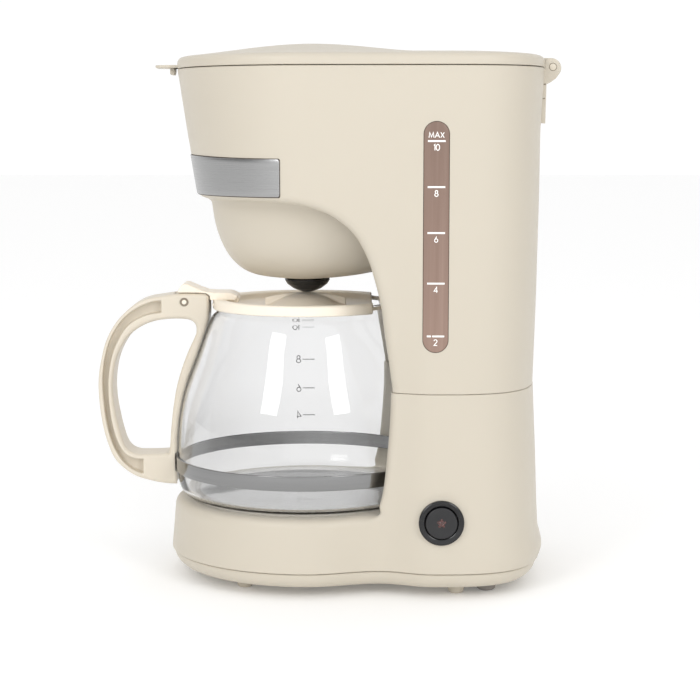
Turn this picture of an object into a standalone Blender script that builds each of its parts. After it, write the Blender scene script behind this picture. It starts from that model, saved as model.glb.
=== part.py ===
# Drip coffee maker: ten-cup machine with a hinged lid, a lift-in filter holder,
# a glass carafe with its own hinged lid, and the heater and hoses inside the base.
#
# Millimetres in the constants below, metres in the scene.  +Z up, the front of the
# machine (the carafe's handle) faces -Y, and the side with the switch faces +X.
# Design coordinates have the carafe's axis at x = 0, y = 0 and the table at z = 0.
# Y_CENTRE moves the finished model so that its box is centred on the origin.
import math

import bmesh
import bpy
from mathutils import Matrix, Vector

MM = 0.001
GAP = 0.3  # clearance between neighbouring pieces

# ------------------------------------------------------------------ dimensions
Y_CENTRE = 11.66860821          # middle of the whole object's box in design coordinates
Z_SKIRT = 14.8            # lower edge of the lower housing
Z_DECK = 44.6             # flat top of the base, round the warming plate
Z_SEAM = 112.4            # joint line between the lower and the upper housing
Z_CEILING = 214.2         # underside of the brew head, above the carafe
Z_RIM = 285.6             # top edge of the upper housing
Z_LID = 286.0             # lower edge of the lid
WALL = 2.5                # moulded wall thickness
RECESS_R = 84.0           # radius of the carafe's recess
BREW_Y = 1.0              # axis of the filter holder and the drip valve
HINGE_Y, HINGE_Z = 135.9, 286.2  # lid hinge axis
HINGE_PIN_R = 2.2
GAUGE_Y, GAUGE_W, GAUGE_Z0, GAUGE_Z1 = 70.5, 13.2, 135.3, 256.5
SWITCH_Y, SWITCH_Z, SWITCH_R, BUTTON_R = 74.3, 43.3, 12.2, 8.4
BUTTON_TRAVEL = 2.5
CARAFE_Z = 45.1           # the glass stands on the warming plate here
PIVOT_Y, PIVOT_Z = -68.3, 155.6   # hinge of the carafe's lid
PLATE_R = 62.0            # warming plate


# ------------------------------------------------------------------ scene set-up
for old in list(bpy.data.objects):
    bpy.data.objects.remove(old, do_unlink=True)
scene = bpy.context.scene
PARTS = bpy.data.collections.new("drip_coffee_maker")
CUTTERS = bpy.data.collections.new("cutters")
scene.collection.children.link(PARTS)
scene.collection.children.link(CUTTERS)


def material(name, colour, roughness, metallic=0.0, alpha=1.0, transmission=0.0):
    m = bpy.data.materials.new(name)
    m.use_nodes = True
    b = m.node_tree.nodes["Principled BSDF"]
    b.inputs["Base Color"].default_value = (*colour, 1.0)
    b.inputs["Roughness"].default_value = roughness
    b.inputs["Metallic"].default_value = metallic
    b.inputs["Alpha"].default_value = alpha
    b.inputs["Transmission Weight"].default_value = transmission
    return m


CREAM = material("cream_plastic", (0.79, 0.75, 0.65), 0.42)
STEEL = material("brushed_steel", (0.60, 0.60, 0.60), 0.34, 1.0)
BLACK = material("black_plastic", (0.025, 0.025, 0.027), 0.38)
GREY = material("grey_rubber", (0.36, 0.33, 0.31), 0.85)
GLASS = material("clear_glass", (0.96, 0.97, 0.97), 0.03, 0.0, 0.35, 1.0)
SMOKE = material("smoked_window", (0.42, 0.31, 0.26), 0.22)
COATING = material("grey_coating", (0.55, 0.55, 0.54), 0.4, 0.3)
ALUMINIUM = material("cast_aluminium", (0.66, 0.67, 0.68), 0.45, 1.0)
SILICONE = material("clear_silicone", (0.86, 0.85, 0.80), 0.5)
BRASS = material("brass", (0.75, 0.60, 0.30), 0.3, 1.0)
TANK = material("tank_plastic", (0.70, 0.67, 0.60), 0.4)
MESH = material("filter_mesh", (0.72, 0.66, 0.52), 0.7)
LENS = material("red_lens", (0.35, 0.03, 0.02), 0.2)


def at(x, y, z):
    """Design millimetres to scene metres."""
    return Vector((x * MM, (y - Y_CENTRE) * MM, z * MM))


def place(name, mesh, mat, cutter=False):
    o = bpy.data.objects.new(name, mesh)
    (CUTTERS if cutter else PARTS).objects.link(o)
    if cutter:
        o.hide_render = True
        o.display_type = "WIRE"
    if mat:
        mesh.materials.append(mat)
    return o


def finish_mesh(name, bm, mat, cutter=False, smooth=True):
    bmesh.ops.recalc_face_normals(bm, faces=bm.faces)
    mesh = bpy.data.meshes.new(name)
    bm.to_mesh(mesh)
    bm.free()
    if smooth:
        mesh.shade_smooth()
        mesh.set_sharp_from_angle(angle=math.radians(35))
    return place(name, mesh, mat, cutter)


def loft(name, loops, mat=None, cutter=False, closed=False):
    """Skin over a run of equal loops, with flat ends, or joined end to end if closed."""
    bm = bmesh.new()
    rings = [[bm.verts.new(p) for p in loop] for loop in loops]
    n = len(rings[0])
    pairs = list(zip(rings, rings[1:]))
    if closed:
        pairs.append((rings[-1], rings[0]))
    for a, b in pairs:
        for i in range(n):
            j = (i + 1) % n
            bm.faces.new((a[i], a[j], b[j], b[i]))
    if not closed:
        bm.faces.new(rings[0])
        bm.faces.new(rings[-1])
    return finish_mesh(name, bm, mat, cutter)


def turned(name, profile, mat=None, centre=(0.0, 0.0), steps=36, cutter=False, axis="Z", along=0.0):
    """A turned solid: a profile of (radius, height), closed on itself or on the axis.
    axis X turns it about a line along X, with heights measured along +X."""
    mesh = bpy.data.meshes.new(name)
    pts = [Vector((r * MM, 0.0, h * MM)) for r, h in profile]
    edges = [(i, i + 1) for i in range(len(pts) - 1)]
    if profile[0][0] > 1e-6 or profile[-1][0] > 1e-6:
        edges.append((len(pts) - 1, 0))
    mesh.from_pydata(pts, edges, [])
    o = place(name, mesh, mat, cutter)
    s = o.modifiers.new("turn", "SCREW")
    s.axis = "Z"
    s.steps = s.render_steps = steps
    s.use_merge_vertices = True
    s.merge_threshold = 0.00001
    s.use_smooth_shade = True
    # the area's sign says which way round the profile runs
    area = sum(
        profile[i][0] * profile[(i + 1) % len(profile)][1]
        - profile[(i + 1) % len(profile)][0] * profile[i][1]
        for i in range(len(profile))
    )
    s.use_normal_flip = area > 0
    if axis == "Z":
        o.location = at(centre[0], centre[1], 0.0)
    else:
        o.location = at(0.0, centre[0], centre[1])
        o.rotation_euler = (0.0, math.pi / 2, 0.0)
    return o


def cylinder(name, radius, p0, p1, mat=None, sides=24, cutter=False, radius2=None):
    """A straight round bar or cone between two design points."""
    a, b = at(*p0), at(*p1)
    bm = bmesh.new()
    bmesh.ops.create_cone(
        bm, cap_ends=True, segments=sides, radius1=radius * MM,
        radius2=(radius if radius2 is None else radius2) * MM, depth=(b - a).length,
    )
    turn = (b - a).to_track_quat("Z", "Y").to_matrix().to_4x4()
    bmesh.ops.transform(bm, matrix=Matrix.Translation((a + b) / 2) @ turn, verts=bm.verts)
    return finish_mesh(name, bm, mat, cutter)


def block(name, low, high, mat=None, cutter=False, bevel=0.0, segments=2):
    a, b = at(*low), at(*high)
    bm = bmesh.new()
    bmesh.ops.create_cube(bm, size=1.0)
    size = b - a
    bmesh.ops.transform(
        bm,
        matrix=Matrix.Translation((a + b) / 2) @ Matrix.Diagonal((*size, 1.0)),
        verts=bm.verts,
    )
    o = finish_mesh(name, bm, mat, cutter, smooth=False)
    if bevel:
        m = o.modifiers.new("round", "BEVEL")
        m.width = bevel * MM
        m.segments = segments
        m.limit_method = "ANGLE"
    return o


def prism(name, polygon, x0, x1, mat=None, cutter=False):
    """A side-view polygon of (y, z), extruded along x."""
    return loft(
        name, [[at(x, y, z) for y, z in polygon] for x in (x0, x1)], mat, cutter
    )


def boolean(obj, other, operation="DIFFERENCE"):
    m = obj.modifiers.new(operation.lower(), "BOOLEAN")
    m.operation = operation
    m.object = other
    m.solver = "EXACT"
    return obj


def tube(name, radius, points, mat, resolution=2, per=2):
    """A hose or pipe through design points, as a smooth curve sampled into a poly spline."""
    path = smooth_path([Vector(p) for p in points], per)
    curve = bpy.data.curves.new(name, "CURVE")
    curve.dimensions = "3D"
    curve.bevel_depth = radius * MM
    curve.bevel_resolution = resolution
    curve.use_fill_caps = True
    s = curve.splines.new("POLY")
    s.points.add(len(path) - 1)
    for p, q in zip(s.points, path):
        p.co = (*at(*q), 1.0)
    o = bpy.data.objects.new(name, curve)
    PARTS.objects.link(o)
    curve.materials.append(mat)
    return o


def smooth_path(points, per):
    """Catmull-Rom through the points."""
    out = []
    n = len(points)
    for i in range(n - 1):
        p0 = points[max(i - 1, 0)]
        p1, p2 = points[i], points[i + 1]
        p3 = points[min(i + 2, n - 1)]
        for k in range(per):
            t = k / per
            out.append(
                0.5 * ((2 * p1) + (p2 - p0) * t + (2 * p0 - 5 * p1 + 4 * p2 - p3) * t * t
                       + (3 * p1 - p0 - 3 * p2 + p3) * t ** 3)
            )
    out.append(points[-1])
    return out


def smooth2(points, per):
    return [(p.x, p.y) for p in smooth_path([Vector((a, b, 0.0)) for a, b in points], per)]


def lerp_table(table, z):
    """Row of numbers at height z, between the rows of a table sorted by height."""
    if z <= table[0][0]:
        return list(table[0][1:])
    for low, high in zip(table, table[1:]):
        if z <= high[0]:
            t = (z - low[0]) / (high[0] - low[0])
            return [a + (b - a) * t for a, b in zip(low[1:], high[1:])]
    return list(table[-1][1:])


# ------------------------------------------------------------------ plan outline
# A row gives, at one height: the front's y, the centre and half-width of the rounded
# front, the waist's y and half-width, the rear's centre, half-width and back y.
UPPER = [
    # z      front  c1   w1    ym    wm    c2    w2    back
    (100.0, -46.0, 4.0, 68.5, 43.0, 70.6, 71.0, 77.8, 127.7),
    (112.0, -47.0, 4.0, 69.0, 43.0, 71.0, 71.0, 77.9, 128.0),
    (160.0, -54.0, 5.0, 72.0, 42.0, 74.2, 71.0, 78.6, 129.4),
    (214.2, -55.4, 6.0, 71.6, 40.0, 76.6, 71.0, 79.4, 130.4),
    (217.0, -59.3, 6.0, 74.8, 40.0, 77.0, 71.0, 79.4, 130.4),
    (220.5, -61.0, 6.0, 75.8, 40.0, 77.3, 71.0, 79.5, 130.45),
    (252.0, -66.2, 6.0, 77.2, 40.0, 78.4, 71.0, 80.0, 130.65),
    (286.0, -71.3, 6.0, 78.7, 40.0, 79.6, 71.0, 80.6, 132.7),
    (300.0, -73.3, 6.0, 79.3, 40.0, 80.0, 71.0, 80.8, 133.0),
]
LOWER = [
    (0.0, -77.3, 2.0, 78.1, 41.0, 70.2, 71.0, 78.1, 131.0),
    (14.8, -77.1, 2.0, 78.0, 41.0, 70.2, 71.0, 78.1, 132.2),
    (20.0, -76.7, 2.0, 77.8, 41.0, 70.2, 71.0, 78.1, 134.4),
    (24.0, -76.3, 2.0, 77.6, 41.0, 70.2, 71.0, 78.1, 133.9),
    (31.0, -75.7, 2.0, 77.3, 41.0, 70.2, 71.0, 78.1, 131.9),
    (37.5, -75.0, 2.0, 76.8, 41.0, 70.3, 71.0, 78.0, 131.5),
    (41.5, -73.9, 2.0, 75.8, 41.0, 70.3, 71.0, 78.0, 131.3),
    (44.0, -71.3, 2.0, 73.2, 41.0, 70.4, 71.0, 78.0, 131.1),
    (44.7, -69.5, 2.0, 71.4, 41.0, 70.4, 71.0, 78.0, 131.1),
    (76.0, -69.5, 2.0, 71.4, 42.0, 70.7, 71.0, 78.0, 129.9),
    (112.4, -69.5, 2.0, 71.4, 43.0, 71.0, 71.0, 77.9, 128.2),
    (130.0, -69.5, 2.0, 71.4, 43.0, 71.0, 71.0, 77.9, 128.2),
]
REAR_POWER = 3.0          # squareness of the rear corners


def outline(row, inset=0.0, nf=7, na=2, nb=2, nr=6):
    """One height's plan outline as (x, y), anticlockwise from the middle of the front."""
    yf, c1, w1, ym, wm, c2, w2, yb = row
    yf, yb = yf + inset, yb - inset
    w1, wm, w2 = w1 - inset, wm - inset, w2 - inset
    half = []
    for i in range(nf):
        a = math.pi / 2 * i / nf
        half.append((w1 * math.sin(a), c1 - (c1 - yf) * math.cos(a)))
    for i in range(na):
        t = i / na
        s = (1 - math.cos(math.pi * t)) / 2
        half.append((w1 + (wm - w1) * s, c1 + (ym - c1) * t))
    for i in range(nb):
        t = i / nb
        s = (1 - math.cos(math.pi * t)) / 2
        half.append((wm + (w2 - wm) * s, ym + (c2 - ym) * t))
    for i in range(nr + 1):
        a = math.pi / 2 * i / nr
        p = 2 / REAR_POWER
        half.append((w2 * math.cos(a) ** p, c2 + (yb - c2) * math.sin(a) ** p))
    half[-1] = (0.0, yb)
    return half + [(-x, y) for x, y in half[-2:0:-1]]


def shell_loops(table, heights, inset=0.0, seg=None):
    return [
        [at(x, y, z) for x, y in outline(lerp_table(table, z), inset, **(seg or {}))]
        for z in heights
    ]


# ------------------------------------------------------------------ carafe recess
# Side view of the opening: the upper housing's edge runs back along the brew head's
# underside, sweeps down in an arch and carries on as the column's front edge.
ARCH = smooth2(
    [(-24.0, 214.2), (-6.0, 213.4), (5.3, 210.9), (14.6, 207.4), (22.0, 202.4), (27.6, 197.0),
     (32.0, 190.0), (35.6, 182.0), (38.4, 173.0), (41.0, 160.0), (43.6, 144.7), (45.2, 129.0), (46.0, 113.0)],
    2,
)
COLUMN = smooth2(
    [(45.2, 113.0), (44.2, 96.0), (42.8, 80.0), (41.0, 64.0), (38.4, 54.6), (34.0, 49.2), (27.4, 46.2), (18.0, 44.7)], 2
)


def offset_line(points, d):
    """The line moved by d to its left."""
    out = []
    for i, (a, b) in enumerate(points):
        p, q = points[max(i - 1, 0)], points[min(i + 1, len(points) - 1)]
        t = Vector((q[0] - p[0], q[1] - p[1])).normalized()
        out.append((a - t.y * d, b + t.x * d))
    return out


def upper_recess(tag, k):
    """Space in front of the column and under the brew head, grown by k."""
    edge = offset_line(ARCH, k)
    side = prism(
        f"recess_arch_{tag}",
        [(-120.0, edge[0][1])] + edge + [(edge[-1][0], 90.0), (-120.0, 90.0)],
        -110.0, 110.0, None, True,
    )
    rows = [(100.0, 84.0, 84.0), (130.0, 81.5, 84.0), (160.0, 76.0, 83.5), (190.0, 71.0, 81.0), (205.0, 69.5, 78.0),
            (211.4, 67.0, 75.0), (213.5 + k, 62.0, 70.0)]
    loops = []
    for z, w, d in rows:
        loops.append([
            at((w + k) * math.cos(a), (d + k) * math.sin(a), z)
            for a in [2 * math.pi * (i + 0.37) / 34 for i in range(34)]
        ])
    bore = loft(f"recess_bore_{tag}", loops, None, True)
    boolean(side, bore, "UNION")
    return side


def lower_recess(tag, k):
    edge = offset_line(COLUMN, k)
    side = prism(
        f"base_arch_{tag}",
        [(edge[0][0], 135.0)] + edge + [(-120.0, 44.7 - k), (-120.0, 135.0)],
        -110.0, 110.0, None, True,
    )
    loops = []
    for z, w in ((44.7 - k, 80.0), (48.0 - k, 83.0), (53.0, 84.0), (135.0, 84.0)):
        loops.append([
            at((w + k) * math.cos(a), (w + k) * math.sin(a), z)
            for a in [2 * math.pi * (i + 0.37) / 34 for i in range(34)]
        ])
    bore = loft(f"base_bore_{tag}", loops, None, True)
    boolean(side, bore, "UNION")
    return side


# ------------------------------------------------------------------ brew head bowl
BOWL = [
    # z, front y, centre y, half-width, back y
    (168.4, -6.0, 6.0, 12.0, 22.0),
    (168.9, -17.0, 8.0, 22.0, 36.0),
    (170.6, -27.5, 9.0, 31.0, 50.0),
    (174.0, -34.0, 10.0, 37.5, 60.0),
    (179.0, -39.8, 10.0, 43.5, 68.0),
    (185.5, -44.6, 10.0, 48.5, 76.0),
    (195.0, -49.2, 10.0, 53.0, 84.0),
    (205.0, -51.9, 10.0, 55.6, 88.0),
    (216.5, -53.2, 10.0, 57.0, 89.0),
]


def bowl_lift(y):
    """How far the bowl's underside is raised at y: it hangs lower in front and climbs towards the column."""
    rows = [(-55.0, -1.6), (-50.0, -2.6), (-45.0, -3.4), (-37.0, -3.1), (-30.0, -1.9), (-23.0, -0.7), (-15.0, 0.0), (0.0, 0.3), (14.0, 1.2), (25.0, 2.1), (31.0, 2.6), (37.0, 3.4), (60.0, 4.0)]
    return lerp_table(rows, y)[0]


def bowl(tag, inset, top, n=24):
    loops = []
    rows = [r for r in BOWL if r[0] + inset < top]
    for z, yf, c, w, yb in rows:
        f, b, ww = c - yf - inset, yb - c - inset, w - inset
        loop = []
        for i in range(n):
            a = 2 * math.pi * i / n
            r = b if math.sin(a) > 0 else f
            y = c + r * math.sin(a)
            lift = bowl_lift(y) * max(0.0, min(1.0, (212.0 - z) / 12.0))
            loop.append(at(ww * math.cos(a), y, z + lift + inset * (1 if z < 190 else 0.2)))
        loops.append(loop)
    last = loops[-1]
    loops.append([Vector((p.x, p.y, top * MM)) for p in last])
    o = loft(f"bowl_{tag}", loops, None, True)
    bm = bmesh.new()
    bm.from_mesh(o.data)
    bmesh.ops.triangulate(bm, faces=bm.faces[:])
    bm.to_mesh(o.data)
    bm.free()
    return o


# ------------------------------------------------------------------ upper housing
up_z = [Z_SEAM + 0.5, 136.0, 160.0, 187.0, 213.9, 217.0, 220.5, 252.0, Z_RIM]
upper = loft("upper_housing", shell_loops(UPPER, up_z), CREAM)
cavity = loft("upper_cavity", shell_loops(UPPER, [104.0, 160.0, 214.2, 217.0, 220.5, 252.0, 296.0], WALL), None, True)
boolean(cavity, upper_recess("thick", WALL))
boolean(cavity, bowl("inner", WALL, 228.0), "UNION")
void = upper_recess("void", 0.0)
boolean(void, bowl("outer", 0.0, 221.0))
boolean(void, cylinder("valve_hole", 14.5, (0, BREW_Y, 150), (0, BREW_Y, 180), None, 32, True), "UNION")
boolean(upper, cavity)
boolean(upper, void)


def stadium(tag, x0, x1, grow, mat=None, cutter=True, sides=10, lean=None):
    """The gauge's outline, extruded along x; lean(z) moves both ends to follow the wall."""
    r = GAUGE_W / 2 + grow
    pts = []
    for i in range(sides + 1):
        a = math.pi * i / sides
        pts.append((GAUGE_Y + r * math.cos(a), GAUGE_Z1 - GAUGE_W / 2 + r * math.sin(a)))
    for i in range(sides + 1):
        a = math.pi + math.pi * i / sides
        pts.append((GAUGE_Y + r * math.cos(a), GAUGE_Z0 + GAUGE_W / 2 + r * math.sin(a)))
    loops = [
        [at(x + (lean(z) if lean else 0.0), y, z) for y, z in pts] for x in (x0, x1)
    ]
    return loft(tag, loops, mat, cutter)


def wall_x(z):
    """Half-width of the upper housing's side at the gauge."""
    return lerp_table(UPPER, z)[6]


boolean(upper, stadium("gauge_slot", 60.0, 100.0, GAP))
gauge = stadium("gauge_window", -2.4, 0.35, 0.0, SMOKE, False, 10, wall_x)

# hinge brackets on the back, one each side, with the pin's bore through them
KNUCKLE_R = 5.1


def hinge_arc(first, last, step=21, r=KNUCKLE_R):
    return [(HINGE_Y + r * math.cos(math.radians(d)), HINGE_Z + r * math.sin(math.radians(d)))
            for d in range(first, last + 1, step)]


for side in (-1, 1):
    a, b = sorted((side * 24.0, side * 31.0))
    ear = [(y - 0.7, z - 0.6) for y, z in hinge_arc(-39, 192, 21, 5.3)] + [(128.8, 283.6), (128.4, 256.0), (132.2, 255.6), (132.6, 276.8), (134.9, 278.0), (137.7, 280.0)]
    boolean(upper, prism(f"hinge_ear_{side}", ear, a, b, None, True), "UNION")
boolean(upper, cylinder("knuckle_notch", KNUCKLE_R + 0.6, (-23.8, HINGE_Y, HINGE_Z), (23.8, HINGE_Y, HINGE_Z), None, 32, True))
boolean(upper, cylinder("hinge_bore", HINGE_PIN_R + GAP, (-40, HINGE_Y, HINGE_Z), (40, HINGE_Y, HINGE_Z), None, 20, True))

# ------------------------------------------------------------------ lower housing
lo_z = [Z_SKIRT, 20.0, 24.0, 31.0, 37.5, 41.5, 44.0, 44.7, 76.0, Z_SEAM]
lower = loft("lower_housing", shell_loops(LOWER, lo_z), CREAM)
low_cavity = loft("lower_cavity", shell_loops(LOWER, [5.0, 20.0, 24.0, 31.0, 37.5, 41.5, 44.0, 44.7, 76.0, 120.0], WALL), None, True)
boolean(low_cavity, lower_recess("thick", WALL))
boolean(lower, low_cavity)
boolean(lower, lower_recess("void", 0.0))
boolean(lower, cylinder("plate_hole", PLATE_R + 3.5, (0, 0, 30), (0, 0, 60), None, 36, True))
boolean(lower, cylinder("switch_hole", 9.8, (60, SWITCH_Y, SWITCH_Z), (90, SWITCH_Y, SWITCH_Z), None, 28, True))
boolean(lower, cylinder("cord_hole", 5.2, (-30, 110, 26), (-30, 150, 26), None, 20, True))

# ------------------------------------------------------------------ bottom cover
row0 = lerp_table(LOWER, 14.8)
dish = [(14.4, 1.6), (12.6, 1.2), (11.0, 2.0), (8.4, 6.0), (6.4, 10.5), (5.8, 14.0)]
bottom = loft("bottom_cover", [[at(x, y, z) for x, y in outline(row0, i)] for z, i in dish], CREAM)
inner = [(20.0, 4.2), (11.6, 4.6), (9.6, 8.0), (8.2, 13.0)]
boolean(bottom, loft("bottom_cavity", [[at(x, y, z) for x, y in outline(row0, i)] for z, i in inner], None, True))

SCREW_XY = [(-50.0, 6.0), (50.0, 6.0), (-52.0, 92.0), (52.0, 92.0)]
for i, (x, y) in enumerate(SCREW_XY):
    boolean(bottom, turned(f"screw_hole_{i}", [(0, 30), (2.1, 30), (2.1, 7.4), (4.2, 7.4), (4.2, 0), (0, 0)], None, (x, y), 12, True))


def foot(tag, x, y):
    prof = [(0.0, 7.2), (5.6, 7.2), (4.9, 2.0), (3.9, 0.35), (2.6, 0.0), (0.0, 0.0)]
    return turned(tag, prof, None, (x, y), 12, True)


for tag, x, y in (("front_l", -44.0, -33.0), ("front_r", 44.0, -33.0), ("rear_l", -57.0, 83.5), ("rear_r", 57.0, 83.5)):
    boolean(bottom, foot(f"moulded_foot_{tag}", x, y), "UNION")
for tag, x in (("left", -50.0), ("right", 50.0)):
    turned(f"rubber_pad_{tag}", [(0.0, 5.5), (5.2, 5.5), (5.2, 1.2), (4.4, 0.3), (3.6, 0.0), (0.0, 0.0)], GREY, (x, 100.5), 12)
for i, (x, y) in enumerate(SCREW_XY):
    turned(f"cover_screw_{i + 1}",
           [(0, 17.5), (0.6, 17.5), (1.5, 15.5), (1.5, 7.1), (3.6, 7.1), (3.6, 5.9), (2.8, 5.2), (0, 5.2)], STEEL, (x, y), 10)

# ------------------------------------------------------------------ front trim plate
def wrapped_strip(name, y_end, z_low, z_high, out0, out1, mat, rise=0.0, n=18):
    """A thin strip that follows the housing's rounded front from one side to the other."""
    def point(t, z, out):
        row = lerp_table(UPPER, z)
        yf, c1, w1 = row[0] - out, row[1], row[2] + out
        a_end = math.acos((c1 - y_end) / (c1 - yf))
        a = -a_end + 2 * a_end * t
        return at(w1 * math.sin(a), c1 - (c1 - yf) * math.cos(a), z)
    loops = []
    for i in range(n + 1):
        t = i / n
        zl, zh = z_low, z_high + rise * math.cos(math.pi * (t - 0.5)) ** 2
        zs = (zl, 220.5, 229.0, zh)
        loops.append([point(t, z, out1) for z in zs] + [point(t, z, out0) for z in zs[::-1]])
    return loft(name, loops, mat)


wrapped_strip("trim_plate", -11.8, 216.9, 236.8, 0.4, 1.0, STEEL, 1.6)

# ------------------------------------------------------------------ water tank and deck
tank = loft("water_tank", shell_loops(UPPER, [119.0, 160.0, 214.2, 220.5, 280.5], WALL + 1.0), TANK)
boolean(tank, upper_recess("tank_out", WALL + 1.0))
front_cut = block("tank_front_cut", (-120, -120, 90), (120, 2.0, 275.5), None, True)
boolean(tank, front_cut)
boolean(tank, cylinder("chamber_out", 59.0, (0, BREW_Y, 90), (0, BREW_Y, 275.5), None, 28, True))
tank_in = loft("tank_inside", shell_loops(UPPER, [121.0, 160.0, 214.2, 220.5, 292.0], WALL + 3.0), None, True)
boolean(tank_in, upper_recess("tank_in", WALL + 3.0))
boolean(tank_in, block("tank_front_wall", (-120, -120, 90), (120, 4.0, 300), None, True))
boolean(tank_in, cylinder("chamber_in", 61.0, (0, BREW_Y, 90), (0, BREW_Y, 300), None, 28, True))
boolean(tank, tank_in)
boolean(tank, loft("deck_recess", shell_loops(UPPER, [278.0, 292.0], WALL + 3.0), None, True))
boolean(tank, cylinder("chamber_hole", 54.0, (0, BREW_Y, 250), (0, BREW_Y, 300), None, 28, True))
boolean(tank, cylinder("tank_drain", 4.2, (38, 104, 110), (38, 104, 130), None, 16, True))
boolean(tank, cylinder("riser_hole", 5.2, (-38, 104, 110), (-38, 104, 130), None, 16, True))

# ------------------------------------------------------------------ filter holder, filter and drip valve
turned("filter_holder", [
    (56.0, 280.6), (56.0, 278.4), (52.6, 277.8), (51.4, 262.0), (48.6, 236.0), (43.2, 206.0), (35.4, 188.0), (26.0, 177.6),
    (15.0, 173.6), (4.6, 173.6), (4.6, 175.6), (14.6, 175.6), (24.8, 179.4), (33.8, 189.4), (41.3, 206.6), (46.7, 236.3),
    (49.5, 262.0), (50.8, 278.6), (54.6, 280.6)], BLACK, (0, BREW_Y), 26)
turned("permanent_filter", [
    (49.9, 277.4), (49.9, 276.4), (46.6, 262.0), (43.0, 238.0), (36.6, 210.0), (26.0, 193.5), (12.0, 187.4), (0.0, 186.4),
    (0.0, 187.6), (11.7, 188.6), (25.2, 194.6), (35.5, 210.7), (41.8, 238.2), (45.4, 262.3), (48.4, 276.4), (48.4, 277.4)],
    MESH, (0, BREW_Y), 22)
turned("drip_valve", [
    (0.0, 181.0), (5.4, 181.0), (7.4, 179.2), (7.4, 178.0), (3.2, 177.4), (3.2, 169.6), (12.8, 168.8), (12.9, 167.6), (11.4, 165.4), (8.0, 162.6),
    (4.6, 161.2), (3.4, 160.8), (0.0, 160.8)], BLACK, (0, BREW_Y), 18)

# ------------------------------------------------------------------ lid
LID_RINGS = [(0.4, 286.0), (0.0, 287.0), (0.0, 289.4), (0.5, 290.9), (1.8, 291.9), (5.0, 292.6), (14.0, 293.3), (26.0, 294.0),
             (40.0, 294.6), (56.0, 295.0), (70.0, 295.2)]


def dome(x, y):
    """Extra height of the raised cap over the filter."""
    r = math.hypot(x / 66.0, (y - 4.0) / (78.0 if y < 4.0 else 74.0))
    return 4.75 * (math.cos(math.pi * r) + 1) / 2 if r < 1 else 0.0


def lid_rings(inset_all=0.0, drop=0.0, seg=None):
    row = lerp_table(UPPER, 286.0)
    loops = []
    for inset, z in LID_RINGS:
        pts = outline(row, 0.0, **(seg or {}))
        cx, cy = 0.0, 30.0
        loop = []
        for x, y in pts:
            d = math.hypot(x - cx, y - cy)
            k = max(0.0, (d - (inset + inset_all)) / d) if inset < 30 else (1 - (inset + inset_all) / 78.0)
            px, py = cx + (x - cx) * k, cy + (y - cy) * k
            loop.append(at(px, py, z - drop + dome(px, py) * min(1.0, inset / 14.0)))
        loops.append(loop)
    return loops


lid_out = lid_rings()
lid_in = lid_rings(2.2, 2.2)
lid_in[0] = [Vector((p.x, p.y, 286.0 * MM)) for p in lid_rings(2.2)[0]]
lid_in[1] = [Vector((p.x, p.y, 286.6 * MM)) for p in lid_rings(2.2)[1]]
lid = loft("lid", lid_out[::-1] + lid_in, CREAM)
# front tab, its catch, and the hinge knuckle with its arms
tab = loft("lid_tab", [[at(x, y, z) for x, y in
           [(-11, -67.5), (-11.5, -76), (-9.5, -81.8), (-5, -84.2), (5, -84.2), (9.5, -81.8), (11.5, -76), (11, -67.5)]] for z in (286.4, 287.9)], None, True)
boolean(lid, tab, "UNION")
boolean(lid, block("lid_catch", (-6.0, -75.2, 282.6), (6.0, -72.6, 287.0), None, True), "UNION")
for side in (-1, 1):
    a, b = sorted((side * 23.7, side * 31.5))
    boolean(lid, cylinder(f"ear_notch_{side}", KNUCKLE_R + 1.3, (a, HINGE_Y, HINGE_Z), (b, HINGE_Y, HINGE_Z), None, 32, True))
arm = hinge_arc(-93, 96) + [(131.0, 291.3), (126.0, 291.8), (126.0, 289.4), (129.6, 286.4), (131.4, 286.2)]
boolean(lid, prism("lid_knuckle", arm, -23.4, 23.4, None, True), "UNION")
boolean(lid, cylinder("lid_bore", HINGE_PIN_R + GAP, (-50, HINGE_Y, HINGE_Z), (50, HINGE_Y, HINGE_Z), None, 20, True))
cylinder("hinge_pin", HINGE_PIN_R, (-30.6, HINGE_Y, HINGE_Z), (30.6, HINGE_Y, HINGE_Z), STEEL, 20)

# ------------------------------------------------------------------ warming plate and heater
turned("warming_plate", [(0.0, 44.8), (PLATE_R - 1.0, 44.8), (PLATE_R, 44.3), (PLATE_R, 43.2), (PLATE_R - 1.6, 43.2), (PLATE_R - 2.0, 43.6), (0.0, 43.6)],
       COATING, (0.0, 0.0), 30)
turned("plate_seal", [(PLATE_R + 0.3, 44.6), (PLATE_R + 2.9, 44.6), (PLATE_R + 2.9, 41.9), (PLATE_R + 5.2, 41.9), (PLATE_R + 5.2, 41.1),
                      (PLATE_R - 3.0, 41.1), (PLATE_R - 3.0, 42.9), (PLATE_R + 0.3, 42.9)], GREY, (0.0, 0.0), 30)


def horseshoe(radius, z, open_deg, tail, n=15):
    """Path of a ring open towards the back, with two tails."""
    pts = []
    for i in range(n + 1):
        a = math.radians(90 + open_deg + (360 - 2 * open_deg) * i / n)
        pts.append((radius * math.cos(a), radius * math.sin(a), z))
    x0, y0 = pts[0][0], pts[0][1]
    head = [(x0 - 3.0, y0 + tail, z), (x0 - 1.0, y0 + tail * 0.5, z)]
    foot_ = [(-px, py, pz) for px, py, pz in head[::-1]]
    return head + pts + foot_


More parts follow.
